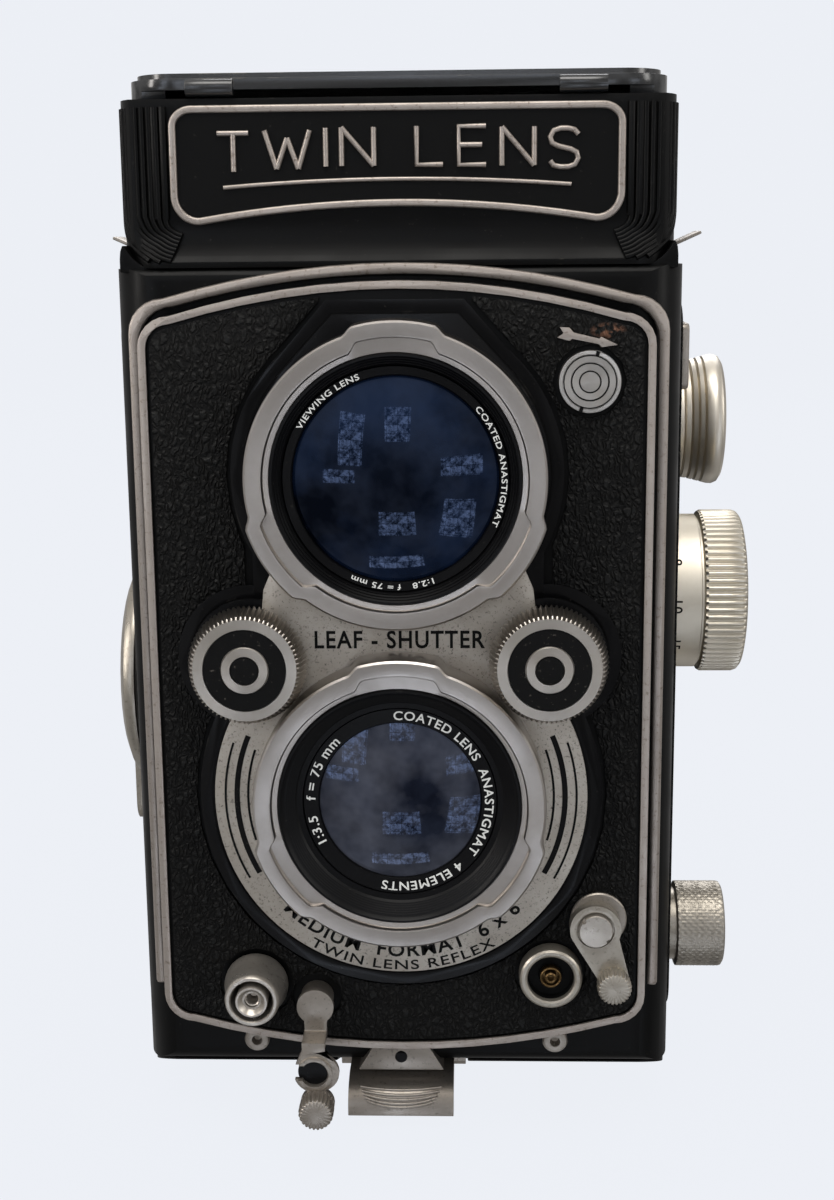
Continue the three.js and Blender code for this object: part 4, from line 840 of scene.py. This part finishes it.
# Painted shade: black rings laid in the three grooves and black patches over the two spanner notches, where the cuts
# fall dark.
groove_and_notch_shade = [band("groove", cap_axis, tip / 1000, inner, inner + 0.14, 0, 360, 0.02) for inner in (3.18, 2.23, 1.25)]
groove_and_notch_shade += [band("notch", cap_axis, tip / 1000, 3.3, 3.88, start, start + 7, 0.06) for start in (72, 249)]
fit(joined("slotted_cap_painted_shade", groove_and_notch_shade), black_paint, "front_standard", "satin_aluminium")

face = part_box("arrow_plate")[0].y
dart = [(-3.77, 6.68), (-2.58, 6.63), (-2.05, 6.01), (1.15, 5.22), (1.31, 5.47), (3.39, 4.48), (1.38, 4.18),
        (1.0, 4.58), (-2.24, 5.25), (-2.53, 4.99), (-4.1, 5.41), (-3.29, 5.92)]
arrow = flat_shape("winding_arrow", [(x + cap_axis.x * 1000, z + cap_axis.z * 1000) for x, z in dart],
                   face, face + 0.0006)
soften(arrow, 0.08, 30)
fit(arrow, trim_metal, "front_standard", "trim_silver", "arrow_plate")


# ---------------------------------------------------------------------------------------------
# The shutter release is a threaded button inside a polished sleeve. Its guard is a nickel lever
# with an open cup that swings up over the button, and a knurled pin to push it by.

release_axis = middle_of("release_button")
y0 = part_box("front_leather")[0].y * 1000
sleeve_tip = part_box("release_sleeve")[0].y * 1000
sleeve = turned("release_sleeve_turning", release_axis, "Y", [
    (2.35, y0), (4.25, y0), (4.25, y0 - 0.9), (4.0, y0 - 1.5), (3.8, y0 - 3.2), (3.62, sleeve_tip + 0.7),
    (3.5, sleeve_tip + 0.25), (3.3, sleeve_tip), (2.95, sleeve_tip), (2.8, sleeve_tip + 0.2), (2.75, sleeve_tip + 1.2),
    (2.35, sleeve_tip + 2.6), (2.35, y0)], sides=96, hollow=True)
polished = bare_metal_named("polished_nickel_plate", "#c4beb6", "#8b857c", 0.3, 1500.0, 0.4)
fit(sleeve, polished, "front_standard", "chrome", "release_sleeve")
tip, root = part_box("release_button")[0].y * 1000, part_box("release_button")[1].y * 1000
button = turned("release_button_turning", release_axis, "Y", [
    (1.8, root), (2.1, root - 1.0), (2.15, tip + 0.2), (2.05, tip), (1.8, tip), (1.68, tip + 0.12), (1.25, tip + 0.7),
    (1.0, tip + 0.75), (0.95, tip + 1.1), (0.8, tip + 1.2), (0.9, tip + 1.5), (0.75, tip + 1.7), (0.6, tip + 3.4),
    (0, tip + 3.6)], sides=72)
fit(button, polished, "release_button", "nickel", "release_button")

gx, gz = -11.6, 21.0
cup_x, cup_z = gx + 0.1, gz - 7.5
cup_back, cup_front = -44.4, -45.55
shape = []
for k in range(0, 25):
    a = math.radians(-52 + 284 * k / 24)
    shape.append((gx + 2.45 * math.cos(a), gz + 2.45 * math.sin(a)))
shape += [(gx - 1.45, gz - 3.0), (gx - 1.5, gz - 4.3), (gx + 1.5, gz - 4.3), (gx + 1.45, gz - 3.0)]
guard = flat_shape("release_guard_arm", shape, -0.0414, -0.0404)
weld(guard, disc(Vector((gx / 1000, 0, gz / 1000)), 2.2, -0.0404, -0.0376, 48), "UNION")
riser = [(gx - 1.5, gz - 4.3), (gx + 1.5, gz - 4.3), (gx + 1.5, gz - 3.3), (gx - 1.5, gz - 3.3)]
weld(guard, flat_shape("riser", riser, cup_back / 1000, -0.0404), "UNION")
blade = []
for k in range(0, 31):
    a = math.radians(120 - 330 * k / 30)
    reach = 2.75 + 0.5 * max(0.0, math.cos(a)) ** 2
    blade.append((cup_x + reach * math.cos(a), cup_z + reach * math.sin(a)))
blade += [(gx - 1.5, gz - 4.4), (gx - 1.5, gz - 3.3), (gx + 1.5, gz - 3.3), (gx + 1.5, gz - 4.4)]
weld(guard, flat_shape("blade", blade, cup_front / 1000 + 0.0004, cup_back / 1000), "UNION")
weld(guard, disc(Vector((gx / 1000 + 0.0004, 0, cup_z / 1000 - 0.0044)), 2.25, cup_back / 1000 - 0.0012,
                 cup_back / 1000, 40), "UNION")
weld(guard, disc(Vector((cup_x / 1000, 0, cup_z / 1000)), 2.35, -0.0456, -0.0446, 48), "UNION")
weld(guard, disc(Vector((cup_x / 1000, 0, cup_z / 1000)), 1.8, -0.047, -0.0435, 48), "DIFFERENCE")
weld(guard, flat_shape("mouth", [(cup_x - 5, cup_z - 0.9), (cup_x, cup_z - 0.9), (cup_x, cup_z + 1.2),
                                 (cup_x - 5, cup_z + 1.2)], -0.047, -0.0435), "DIFFERENCE")
soften(cleaned(guard), 0.16, 34)
guard_nickel = bare_metal_named("rubbed_nickel_plate", "#aaa39a", "#6f6860", 0.36, 1500.0, 0.5)
fit(guard, guard_nickel, "release_guard", "nickel", "release_guard")
floor = turned("release_guard_cup_floor", Vector((cup_x / 1000, 0, cup_z / 1000)), "Y", [
    (2.2, cup_back), (2.2, cup_back - 0.3), (0, cup_back - 0.3)], sides=48)
fit(floor, blackened_brass, "release_guard", "nickel")
pin_axis = Vector((gx / 1000 + 0.0004, 0, cup_z / 1000 - 0.0044))
pin = turned("release_guard_pin", pin_axis, "Y", [
    (1.7, cup_back - 0.3), (1.9, cup_back - 0.9), (2.25, cup_back - 1.1), (2.3, cup_back - 1.4), (2.3, cup_back - 3.3),
    (2.1, cup_back - 3.75), (1.7, cup_back - 3.95), (0, cup_back - 4.0)], sides=144)
toothed(pin, pin_axis, "Y", 24, 0.22, 2.0, 2.4)
fit(pin, guard_nickel, "release_guard", "nickel")


# ---------------------------------------------------------------------------------------------
# The flash socket is a nickel ring round a black insulating well with a coaxial contact. The
# synchroniser lever above it is a stamped plate with a two-notch screw and a knurled pin.

socket_axis = middle_of("sync_socket")
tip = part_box("sync_socket")[0].y * 1000
socket = turned("flash_socket_ring", socket_axis, "Y", [
    (4.2, y0), (4.2, tip + 0.6), (4.05, tip + 0.2), (3.8, tip), (3.4, tip), (3.15, tip + 0.15), (3.05, tip + 0.5),
    (3.05, y0 - 0.3), (4.2, y0)], sides=96, hollow=True)
fit(socket, nickel, "front_standard", "chrome", "sync_socket")
well = turned("flash_socket_well", socket_axis, "Y", [
    (3.04, y0 - 0.05), (3.04, tip + 0.8), (2.9, y0 - 0.45), (1.6, y0 - 0.4), (1.5, y0 - 0.2), (0, y0 - 0.2)], sides=64)
fit(well, matt_black, "front_standard", "black_enamel")
contact = turned("flash_contact", socket_axis, "Y", [
    (1.4, y0 - 0.3), (1.4, y0 - 1.6), (1.25, y0 - 1.7), (1.12, y0 - 1.6), (1.1, y0 - 0.6), (0.75, y0 - 0.6),
    (0.75, y0 - 1.8), (0.6, y0 - 1.95), (0.42, y0 - 1.85), (0.38, y0 - 1.2), (0, y0 - 1.2)], sides=48)
contact_brass = bare_metal_named("tarnished_brass", "#6f5836", "#42331f", 0.34, 1500.0, 0.4)
fit(contact, contact_brass, "front_standard", "nickel", "sync_pin")

lx, lz = 25.4, 31.6
px, pz = 27.8, 24.4
outline = []
for k in range(0, 29):
    a = math.radians(-22 + 222 * k / 28)
    outline.append((lx + 3.35 * math.cos(a), lz + 3.35 * math.sin(a)))
outline += [(px - 2.1, pz + 0.4), (px - 1.6, pz - 1.2), (px, pz - 2.0), (px + 1.6, pz - 1.2), (px + 2.1, pz + 0.4)]
lever = flat_shape("synchroniser_lever_plate", outline, -0.0404, -0.0393)
weld(lever, disc(Vector((lx / 1000, 0, lz / 1000)), 3.35, -0.0393, -0.0381, 64), "UNION")
weld(lever, disc(Vector((lx / 1000, 0, lz / 1000)), 2.5, -0.041, -0.0398, 64), "DIFFERENCE")
soften(cleaned(lever), 0.22, 34, 3)
fit(lever, nickel, "sync_lever", "nickel", "sync_lever")
pin_axis = Vector((px / 1000, 0, pz / 1000))
pin = turned("synchroniser_pin", pin_axis, "Y", [
    (1.9, -40.3), (2.15, -40.6), (2.25, -41.0), (2.25, -42.6), (2.1, -42.95), (1.8, -43.08), (0, -43.1)], sides=144)
toothed(pin, pin_axis, "Y", 24, 0.2, 2.0, 2.4)
fit(pin, nickel, "sync_lever", "nickel")
screw_axis = Vector((lx / 1000, 0, lz / 1000))
screw = turned("synchroniser_screw", screw_axis, "Y", [
    (2.0, -39.7), (2.15, -39.8), (2.2, -40.9), (2.1, -41.05), (0.3, -41.12), (0, -41.12)], sides=72)
for angle in (138, -38):
    a = math.radians(angle)
    weld(screw, disc(screw_axis + Vector((math.cos(a) * 0.0021, 0, math.sin(a) * 0.0021)), 0.3, -0.042, -0.0402, 12),
         "DIFFERENCE")
only(screw)
bpy.ops.object.shade_smooth_by_angle(angle=math.radians(28))
fit(screw, polished, "front_standard", "nickel", "sync_lever_screw")
base = turned("synchroniser_base", Vector(((lx + 0.5) / 1000, 0, (lz + 0.7) / 1000)), "Y", [
    (3.7, y0), (3.7, y0 - 0.35), (3.55, y0 - 0.5), (0, y0 - 0.5)], sides=72)
fit(base, guard_nickel, "front_standard", "nickel")


# ---------------------------------------------------------------------------------------------
# Two small drilled studs under the front plate hold a leather case, and between them the catch
# plate for the back is a bright stamping held by one dark screw.

for side in ("left", "right"):
    axis = middle_of("case_stud_" + side)
    low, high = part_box("case_stud_" + side)
    stud = turned("case_stud_turning_" + side, axis, "Y", [
        (1.7, high.y * 1000), (1.7, low.y * 1000 + 0.4), (1.5, low.y * 1000 + 0.08), (1.2, low.y * 1000),
        (0.72, low.y * 1000 + 0.05), (0.62, low.y * 1000 + 0.3), (0.5, low.y * 1000 + 1.2), (0, low.y * 1000 + 1.3)],
        sides=64)
    fit(stud, guard_nickel, "camera", "chrome", "case_stud_" + side)
fit(recut("catch_plate", "catch_plate_stamping", 0.15), guard_nickel, "camera", "nickel", "catch_plate")
plate_low, plate_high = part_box("catch_plate")
screw_spot = Vector(((plate_low.x + plate_high.x) / 2, 0, plate_high.z - 0.0014))
screw = turned("catch_plate_screw", screw_spot, "Y", [
    (0.85, plate_low.y * 1000 + 0.4), (0.85, plate_low.y * 1000 - 0.12), (0.7, plate_low.y * 1000 - 0.25),
    (0, plate_low.y * 1000 - 0.3)], sides=32)
fit(screw, blackened_brass, "camera", "black_enamel")


# ---------------------------------------------------------------------------------------------
# The hood's base is a black casting. Ribs run down its front corners and curl in along the cove
# underneath, and the body casting rises in a small ear on each side to meet it.

hood_base = recut("hood_base", "hood_base_casting", 0.9, 34)
fit(hood_base, black_enamel, "camera", "black_enamel", "hood_base")

rib_roots = [(29.6, -28.92), (30.4, -28.92)]
for step in range(8):
    a = math.radians(-88 + 82 * step / 7)
    rib_roots.append((31.2 + 4.2 * math.cos(a), -24.75 + 4.2 * math.sin(a)))


def rod(name, points, radius, round_steps=2):
    """A round rod of some radius through points, all in mm, as a smooth mesh with closed ends."""
    path = bpy.data.curves.new(name, "CURVE")
    path.dimensions = "3D"
    path.bevel_depth = radius / 1000
    path.bevel_resolution = round_steps
    path.use_fill_caps = True
    line = path.splines.new("POLY")
    line.points.add(len(points) - 1)
    for spot, (x, y, z) in zip(line.points, points):
        spot.co = (x / 1000, y / 1000, z / 1000, 1)
    piece = bpy.data.objects.new(name, path)
    bpy.context.collection.objects.link(piece)
    only(piece)
    bpy.ops.object.convert(target="MESH")
    bpy.ops.object.shade_smooth()
    return bpy.context.object


curl_centre_z, cove_top, cove_foot = 123.6, 121.9, 117.8
ribs = []
for side in (-1, 1):
    for number, (x, y) in enumerate(rib_roots):
        swing = 2.5 + 0.46 * number
        centre_x = 27.1 + 0.1 * number
        points = [(x, y, 137.0), (x, y, 133), (x, y, 129), (x, y, 126)]
        for k in range(0, 15):
            share = k / 14
            a = math.radians(80 * share)
            z = curl_centre_z - swing * math.sin(a)
            if z < cove_foot:
                break
            cove = -28.75 if z > cove_top else -28.75 - 2.1 * ((cove_top - z) / 4.5) ** 2
            spread = centre_x + swing * math.cos(a)
            points.append((x + (spread - x) * min(1.0, share * 1.6), y + (cove - y) * min(1.0, share * 1.6), z))
        ribs.append(rod("rib", [(side * across, deep, high) for across, deep, high in points], 0.36))
fit(joined("hood_corner_ribs", ribs), black_enamel, "camera", "black_enamel")

for side, name in ((-1, "left"), (1, "right")):
    ear = [(30.6, 116.6)]
    for k in range(0, 13):
        a = math.radians(-84 + 84 * k / 12)
        ear.append((30.2 + 5.2 * math.cos(a), 122.0 + 5.2 * math.sin(a)))
    ear = [spot for spot in ear if spot[1] < 120.0] + [(35.2, 120.0), (35.5, 119.2), (35.6, 118.2), (35.6, 116.6)]
    piece = flat_shape("body_ear_" + name, [(side * x, z) for x, z in ear], -0.0296, -0.0245)
    soften(cleaned(piece), 0.5, 30, 3)
    fit(piece, black_enamel, "camera", "black_enamel")


# ---------------------------------------------------------------------------------------------
# The nameplate is a sunk black panel with a rounded bright frame. The words on it are generic, in
# raised single-stroke letters over a plain rule.

def plate_outline(inset, steps=10):
    """The nameplate's outline in mm: flat top, arched foot, and rounded corners."""
    half, top = 28.8 - inset, 137.15 - inset
    spots = []
    for side, start, cx, cz, r in ((1, 0, half - 3.0 + inset, top - 2.6 + inset, 2.6 - inset),
                                   (-1, 90, -half + 3.0 - inset, top - 2.6 + inset, 2.6 - inset),
                                   (-1, 180, -half + 3.6 - inset, 126.1, 3.7 - inset)):
        for k in range(steps + 1):
            a = math.radians(start + 90 * k / steps)
            spots.append((cx + (r + (0.4 if start < 180 else -0.1)) * math.cos(a), cz + r * math.sin(a)))
    for k in range(1, 24):
        x = -half + 3.6 + (2 * half - 7.2) * k / 24
        spots.append((x, 124.5 + inset - 0.0033 * x * x))
    for k in range(steps + 1):
        a = math.radians(270 + 90 * k / steps)
        spots.append((half - 3.6 + inset + (3.6 - inset) * math.cos(a), 126.1 + (3.7 - inset) * math.sin(a)))
    return spots


frame_low, frame_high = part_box("nameplate_frame")
frame_line = flat_shape("nameplate_line", plate_outline(0.0), frame_low.y, frame_high.y)
weld(frame_line, flat_shape("frame_hole", plate_outline(0.95), frame_low.y - 0.001, frame_high.y + 0.001), "DIFFERENCE")
soften(cleaned(frame_line), 0.3, 40, 3)
fit(frame_line, trim_metal, "camera", "trim_silver", "nameplate_frame")
ground = flat_shape("nameplate_ground", plate_outline(0.9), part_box("nameplate_panel")[0].y, frame_high.y)
panel_paint = enamel_named("pebbled_black_enamel", "#060606", 0.5, 0.1, 0.0)
fit(ground, panel_paint, "camera", "black_enamel", "nameplate_panel")

strokes = {
    "T": (3.6, [[(0, 1), (1, 1)], [(0.5, 1), (0.5, 0)]]),
    "W": (5.2, [[(0, 1), (0.26, 0)], [(0.26, 0), (0.5, 0.8)], [(0.5, 0.8), (0.74, 0)], [(0.74, 0), (1, 1)]]),
    "I": (0.0, [[(0, 0), (0, 1)]]),
    "N": (3.7, [[(0, 0), (0, 1)], [(0, 1), (1, 0)], [(1, 0), (1, 1)]]),
    "L": (3.0, [[(0, 1), (0, 0), (1, 0)]]),
    "E": (3.1, [[(1, 1), (0, 1), (0, 0), (1, 0)], [(0, 0.52), (0.86, 0.52)]]),
    "S": (3.2, [[(1, 0.84), (0.86, 0.96), (0.62, 1.0), (0.36, 1.0), (0.12, 0.94), (0.0, 0.78), (0.06, 0.62),
                 (0.28, 0.54), (0.72, 0.46), (0.94, 0.38), (1.0, 0.22), (0.88, 0.06), (0.64, 0.0), (0.36, 0.0),
                 (0.12, 0.04), (0.0, 0.16)]]),
}
letter_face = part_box("nameplate_panel")[0].y * 1000 - 0.12
letters = []
cursor, gap, tall = -22.6, 2.0, 4.7
for letter in "TWIN LENS":
    if letter == " ":
        cursor += 3.4
        continue
    width, lines = strokes[letter]
    width *= 1.1
    for line in lines:
        foot = 129.6 - 0.0012 * cursor * cursor
        spots = [(cursor + width * u, letter_face, foot + tall * v) for u, v in line]
        letters.append(rod("stroke", spots, 0.35, 3))
    cursor += width + gap
rule = [-22 + 44 * k / 20 for k in range(21)]
letters.append(rod("stroke", [(x, letter_face, 127.9 - 0.0018 * x ** 2) for x in rule], 0.275, 3))
fit(joined("nameplate_letters", letters), trim_metal, "camera", "trim_silver")


# ---------------------------------------------------------------------------------------------
# The hood's lid is a pressed sheet pan with rounded edges in glossy black, worn bright at the
# hinge. Under it are three thin folding flaps, and the ground glass screen above the mirror.

lid = recut("hood_lid", "hood_lid_pressing", 1.3, 40)
lid_low, lid_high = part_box("hood_lid")
for side in (-1, 1):
    bpy.ops.object.select_all(action="DESELECT")
    bpy.ops.mesh.primitive_cube_add(size=1, location=(side * 0.0236, lid_low.y + 0.0012, lid_high.z - 0.0019))
    leaf = bpy.context.object
    leaf.scale = (0.0052, 0.0016, 0.0013)
    settle(leaf, "lid_hinge_leaf")
    soften(leaf, 0.3, 30)
    fit(leaf, guard_nickel, "hood_lid", "nickel")
lid_enamel = enamel_named("lid_black_lacquer", "#151617", 0.18, 0.7, 0.8)
fit(lid, lid_enamel, "hood_lid", "black_enamel", "hood_lid")
for flap in ("hood_rear_flap", "hood_left_flap", "hood_right_flap"):
    fit(recut(flap, flap + "_sheet", 0.15), matt_black, flap, "black_sheet", flap)

ground_glass, tree, surface, place = finish_named("ground_glass")
frost = add(tree, "ShaderNodeTexNoise", {"Vector": place, "Scale": 2500.0, "Detail": 2.0})
haze = add(tree, "ShaderNodeMapRange", {"Value": frost.outputs["Fac"], "To Min": 0.35, "To Max": 0.6})
tree.links.new(haze.outputs["Result"], surface.inputs["Roughness"])
surface.inputs["Base Color"].default_value = linear("#9fa39c")
surface.inputs["IOR"].default_value = 1.5
fit(recut("focusing_screen", "focusing_screen_glass", 0.15), ground_glass, "camera", "screen_glass", "focusing_screen")
silvered, tree, surface, place = finish_named("front_silvered_glass")
film = add(tree, "ShaderNodeTexNoise", {"Vector": place, "Scale": 120.0, "Detail": 3.0})
haze = add(tree, "ShaderNodeMapRange", {"Value": film.outputs["Fac"], "To Min": 0.02, "To Max": 0.08})
tree.links.new(haze.outputs["Result"], surface.inputs["Roughness"])
surface.inputs["Base Color"].default_value = linear("#e4e4e8")
surface.inputs["Metallic"].default_value = 1.0
fit(recut("viewing_mirror", "viewing_mirror_glass", 0.1), silvered, "camera", "mirror", "viewing_mirror")


# ---------------------------------------------------------------------------------------------
# The focusing knob is turned light alloy with a plain drum, marked with distances, and a coarse
# ribbed rim. The spool knobs above and below it pull out to free the film spools.

knob_axis = middle_of("focus_knob")
knob = turned("focusing_knob", knob_axis, "X", [
    (10.9, 36.95), (11.2, 37.1), (11.2, 41.6), (10.75, 41.75), (10.75, 42.0), (11.6, 42.15), (11.8, 42.5),
    (11.8, 43.8), (11.8, 45.2), (11.8, 47.0), (11.6, 47.6), (11.1, 48.0), (10.4, 48.15), (3.2, 48.2), (3.0, 48.0),
    (0, 48.0)], sides=560)
toothed(knob, knob_axis, "X", 70, 0.5, 11.3, 12.0, (42.3, 47.7), 1.8)
knob_alloy = lathed_named("turned_nickel_silver", "#e2dccf", "#b9b1a1", 0.3, knob_axis, "X", 0.0003)
fit(knob, knob_alloy, "focus_knob", "nickel", "focus_knob")
scale_marks = []
for number, turned_by in (
        ("3", 20), ("4", 52), ("5", 84), ("6", 116), ("8", 148), ("10", 180), ("15", 212), ("25", 246), ("60", 284)):
    mark = words("distance", number, 1.5, 1.0, 0.03)
    for corner in mark.data.vertices:
        u, w, v = corner.co
        angle = math.radians(turned_by) + u / 11.2
        reach = 11.2 - w
        corner.co = (0.0374 + v / 1000, knob_axis.y + reach / 1000 * math.cos(angle),
                     knob_axis.z + reach / 1000 * math.sin(angle))
    scale_marks.append(mark)
fit(joined("distance_figures", scale_marks), black_paint, "focus_knob", "black_enamel")

upper_axis = middle_of("upper_spool_knob")
upper = turned("upper_spool_knob_turning", upper_axis, "X", [
    (2.95, 29.0), (2.95, 36.9), (9.1, 36.9), (9.15, 42.0), (8.8, 42.1), (9.2, 42.4), (9.3, 43.1), (8.9, 43.2),
    (9.4, 43.5), (9.55, 44.1),
    (9.15, 44.2), (9.65, 44.5), (9.8, 45.1), (9.4, 45.2), (9.9, 45.5), (10.15, 46.4), (10.2, 47.2), (9.9, 47.9),
    (9.2, 48.35),
    (6.6, 48.5), (6.3, 48.2), (0, 48.3)], sides=160)
upper_alloy = lathed_named("upper_knob_nickel_silver", "#e2dcd0", "#b9b1a3", 0.3, upper_axis, "X", 0.0003)
fit(upper, upper_alloy, "upper_spool_knob", "nickel", "upper_spool_knob")

lower_axis = middle_of("lower_spool_knob")
rows = [(2.95, 29.0), (2.95, 36.9), (5.2, 36.9), (5.2, 38.4), (5.9, 38.5)] + [(6.12, 38.6 + 0.3 * k) for k in range(21)]
rows += [(6.0, 45.0), (5.6, 45.25), (4.6, 45.3), (4.4, 45.1), (0, 45.1)]
lower = turned("lower_spool_knob_turning", lower_axis, "X", rows, sides=240)
for corner in lower.data.vertices:
    u, v = corner.co.y - lower_axis.y, corner.co.z - lower_axis.z
    radius = math.hypot(u, v)
    if radius < 0.0061:
        continue
    turns = math.atan2(v, u) / (2 * math.pi) * 40
    along = corner.co.x * 1000 / 0.96
    cut_a = abs(((turns + along) % 1.0) * 2 - 1)
    cut_b = abs(((turns - along) % 1.0) * 2 - 1)
    scale = (radius - 0.00022 * max(cut_a, cut_b) ** 3) / radius
    corner.co.y = lower_axis.y + u * scale
    corner.co.z = lower_axis.z + v * scale
fit(lower, nickel, "lower_spool_knob", "nickel", "lower_spool_knob")
fit(recut("index_bracket", "index_bracket_clip", 0.35), guard_nickel, "camera", "nickel", "index_bracket")


# ---------------------------------------------------------------------------------------------
# The winding crank folds flat against a black dished housing on the other side. Its arm is a
# nickel forging, and the handle is a small knurled roller that turns on a stud.

fit(recut("crank_housing", "crank_housing_dish", 0.25), black_enamel, "camera", "black_enamel", "crank_housing")
fit(recut("crank_arm", "crank_arm_forging", 0.3), nickel, "crank", "nickel", "crank_arm")
handle_axis = middle_of("crank_handle")
handle_low, handle_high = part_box("crank_handle")
inner_end, outer_end = handle_high.x * 1000, handle_low.x * 1000
handle = turned("crank_handle_roller", handle_axis, "X", [
    (1.5, inner_end), (2.6, inner_end - 0.05), (3.1, inner_end - 0.4), (3.1, outer_end + 0.4), (2.7, outer_end + 0.05),
    (1.6, outer_end), (1.5, outer_end + 0.1), (1.5, inner_end)], sides=144, hollow=True)
toothed(handle, handle_axis, "X", 36, 0.18, 2.9, 3.3)
fit(handle, nickel, "crank_handle", "nickel", "crank_handle")


# ---------------------------------------------------------------------------------------------
# The strap lugs are thin nickel-plated steel plates that slope up out of the body's shoulders. They
# are stamped plain, with only their edges broken.

for side, name in ((-1, "left"), (1, "right")):
    low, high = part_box("strap_lug_" + name)
    root_x = 0.0364 if side > 0 else -0.0364
    tip_x = high.x if side > 0 else low.x
    across = (low.y + high.y) / 2
    bpy.ops.object.select_all(action="DESELECT")
    bpy.ops.mesh.primitive_cube_add(size=1, location=(0, 0, 0))
    lug = bpy.context.object
    lug.scale = (abs(tip_x - root_x) / math.cos(math.radians(24)) - 0.0002, 0.0068, 0.00045)
    bpy.ops.object.transform_apply(location=False, rotation=False, scale=True)
    lug.rotation_euler = (0, -side * math.radians(24), 0)
    lug.location = ((root_x + tip_x) / 2 - side * 0.0002, across, high.z - 0.0009)
    settle(lug, "strap_lug_plate_" + name)
    soften(lug, 0.12, 30)
    fit(lug, guard_nickel, "camera", "nickel", "strap_lug_" + name)


# ---------------------------------------------------------------------------------------------
# The hinged back is an L-shaped casting with leather on its outer face, an exposure table, a
# sprung pressure plate inside, the tripod bush underneath, and a ribbed nickel latch at the front. The
# film rollers and the take-up spool that the back closes over come last.

fit(recut("back_door", "back_door_casting", 0.3), black_enamel, "back", "black_enamel", "back_door")
fit(recut("back_leather", "back_leather_panel", 0.2), goatskin, "back", "leather", "back_leather")
fit(recut("pressure_plate", "pressure_plate_sheet", 0.2), matt_black, "back", "black_sheet", "pressure_plate")
fit(recut("exposure_table", "exposure_table_plate", 0.15), satin_aluminium, "back", "satin_aluminium", "exposure_table")
fit(recut("tripod_bush", "tripod_bush_plate", 0.25), nickel, "back", "nickel", "tripod_bush")
latch = recut("door_latch", "door_latch_lever", 0.35)
fit(latch, guard_nickel, "door_latch", "nickel", "door_latch")
latch_x = middle_of("door_latch").x * 1000
ridges = []
for number in range(5):
    half = 4.6 + 0.25 * number
    points = []
    for k in range(17):
        u = -1 + 2 * k / 16
        high = 3.5 + 0.52 * number + 0.9 * (1 - number / 6) * u * u
        bend = (-2 + math.sqrt(4 + 3.2 * max(0.0, 6.2 - high))) / 1.6
        deep = -33.6 * (1 - bend) ** 2 - 71.2 * bend * (1 - bend) - 35.7 * bend ** 2
        points.append((latch_x + half * u, max(deep, -35.55), high))
    ridges.append(rod("ridge", points, 0.22))
fit(joined("latch_finger_ribs", ridges), guard_nickel, "door_latch", "nickel")

for node, finish, body, slot in (
        ("film_roller_lower", nickel, "roller_lower", "chrome"),
        ("film_roller_upper", nickel, "roller_upper", "chrome"),
        ("take_up_spool", matt_black, "take_up_spool", "black_sheet")):
    fit(recut(node, node + "_turning", 0.1), finish, body, slot, node)
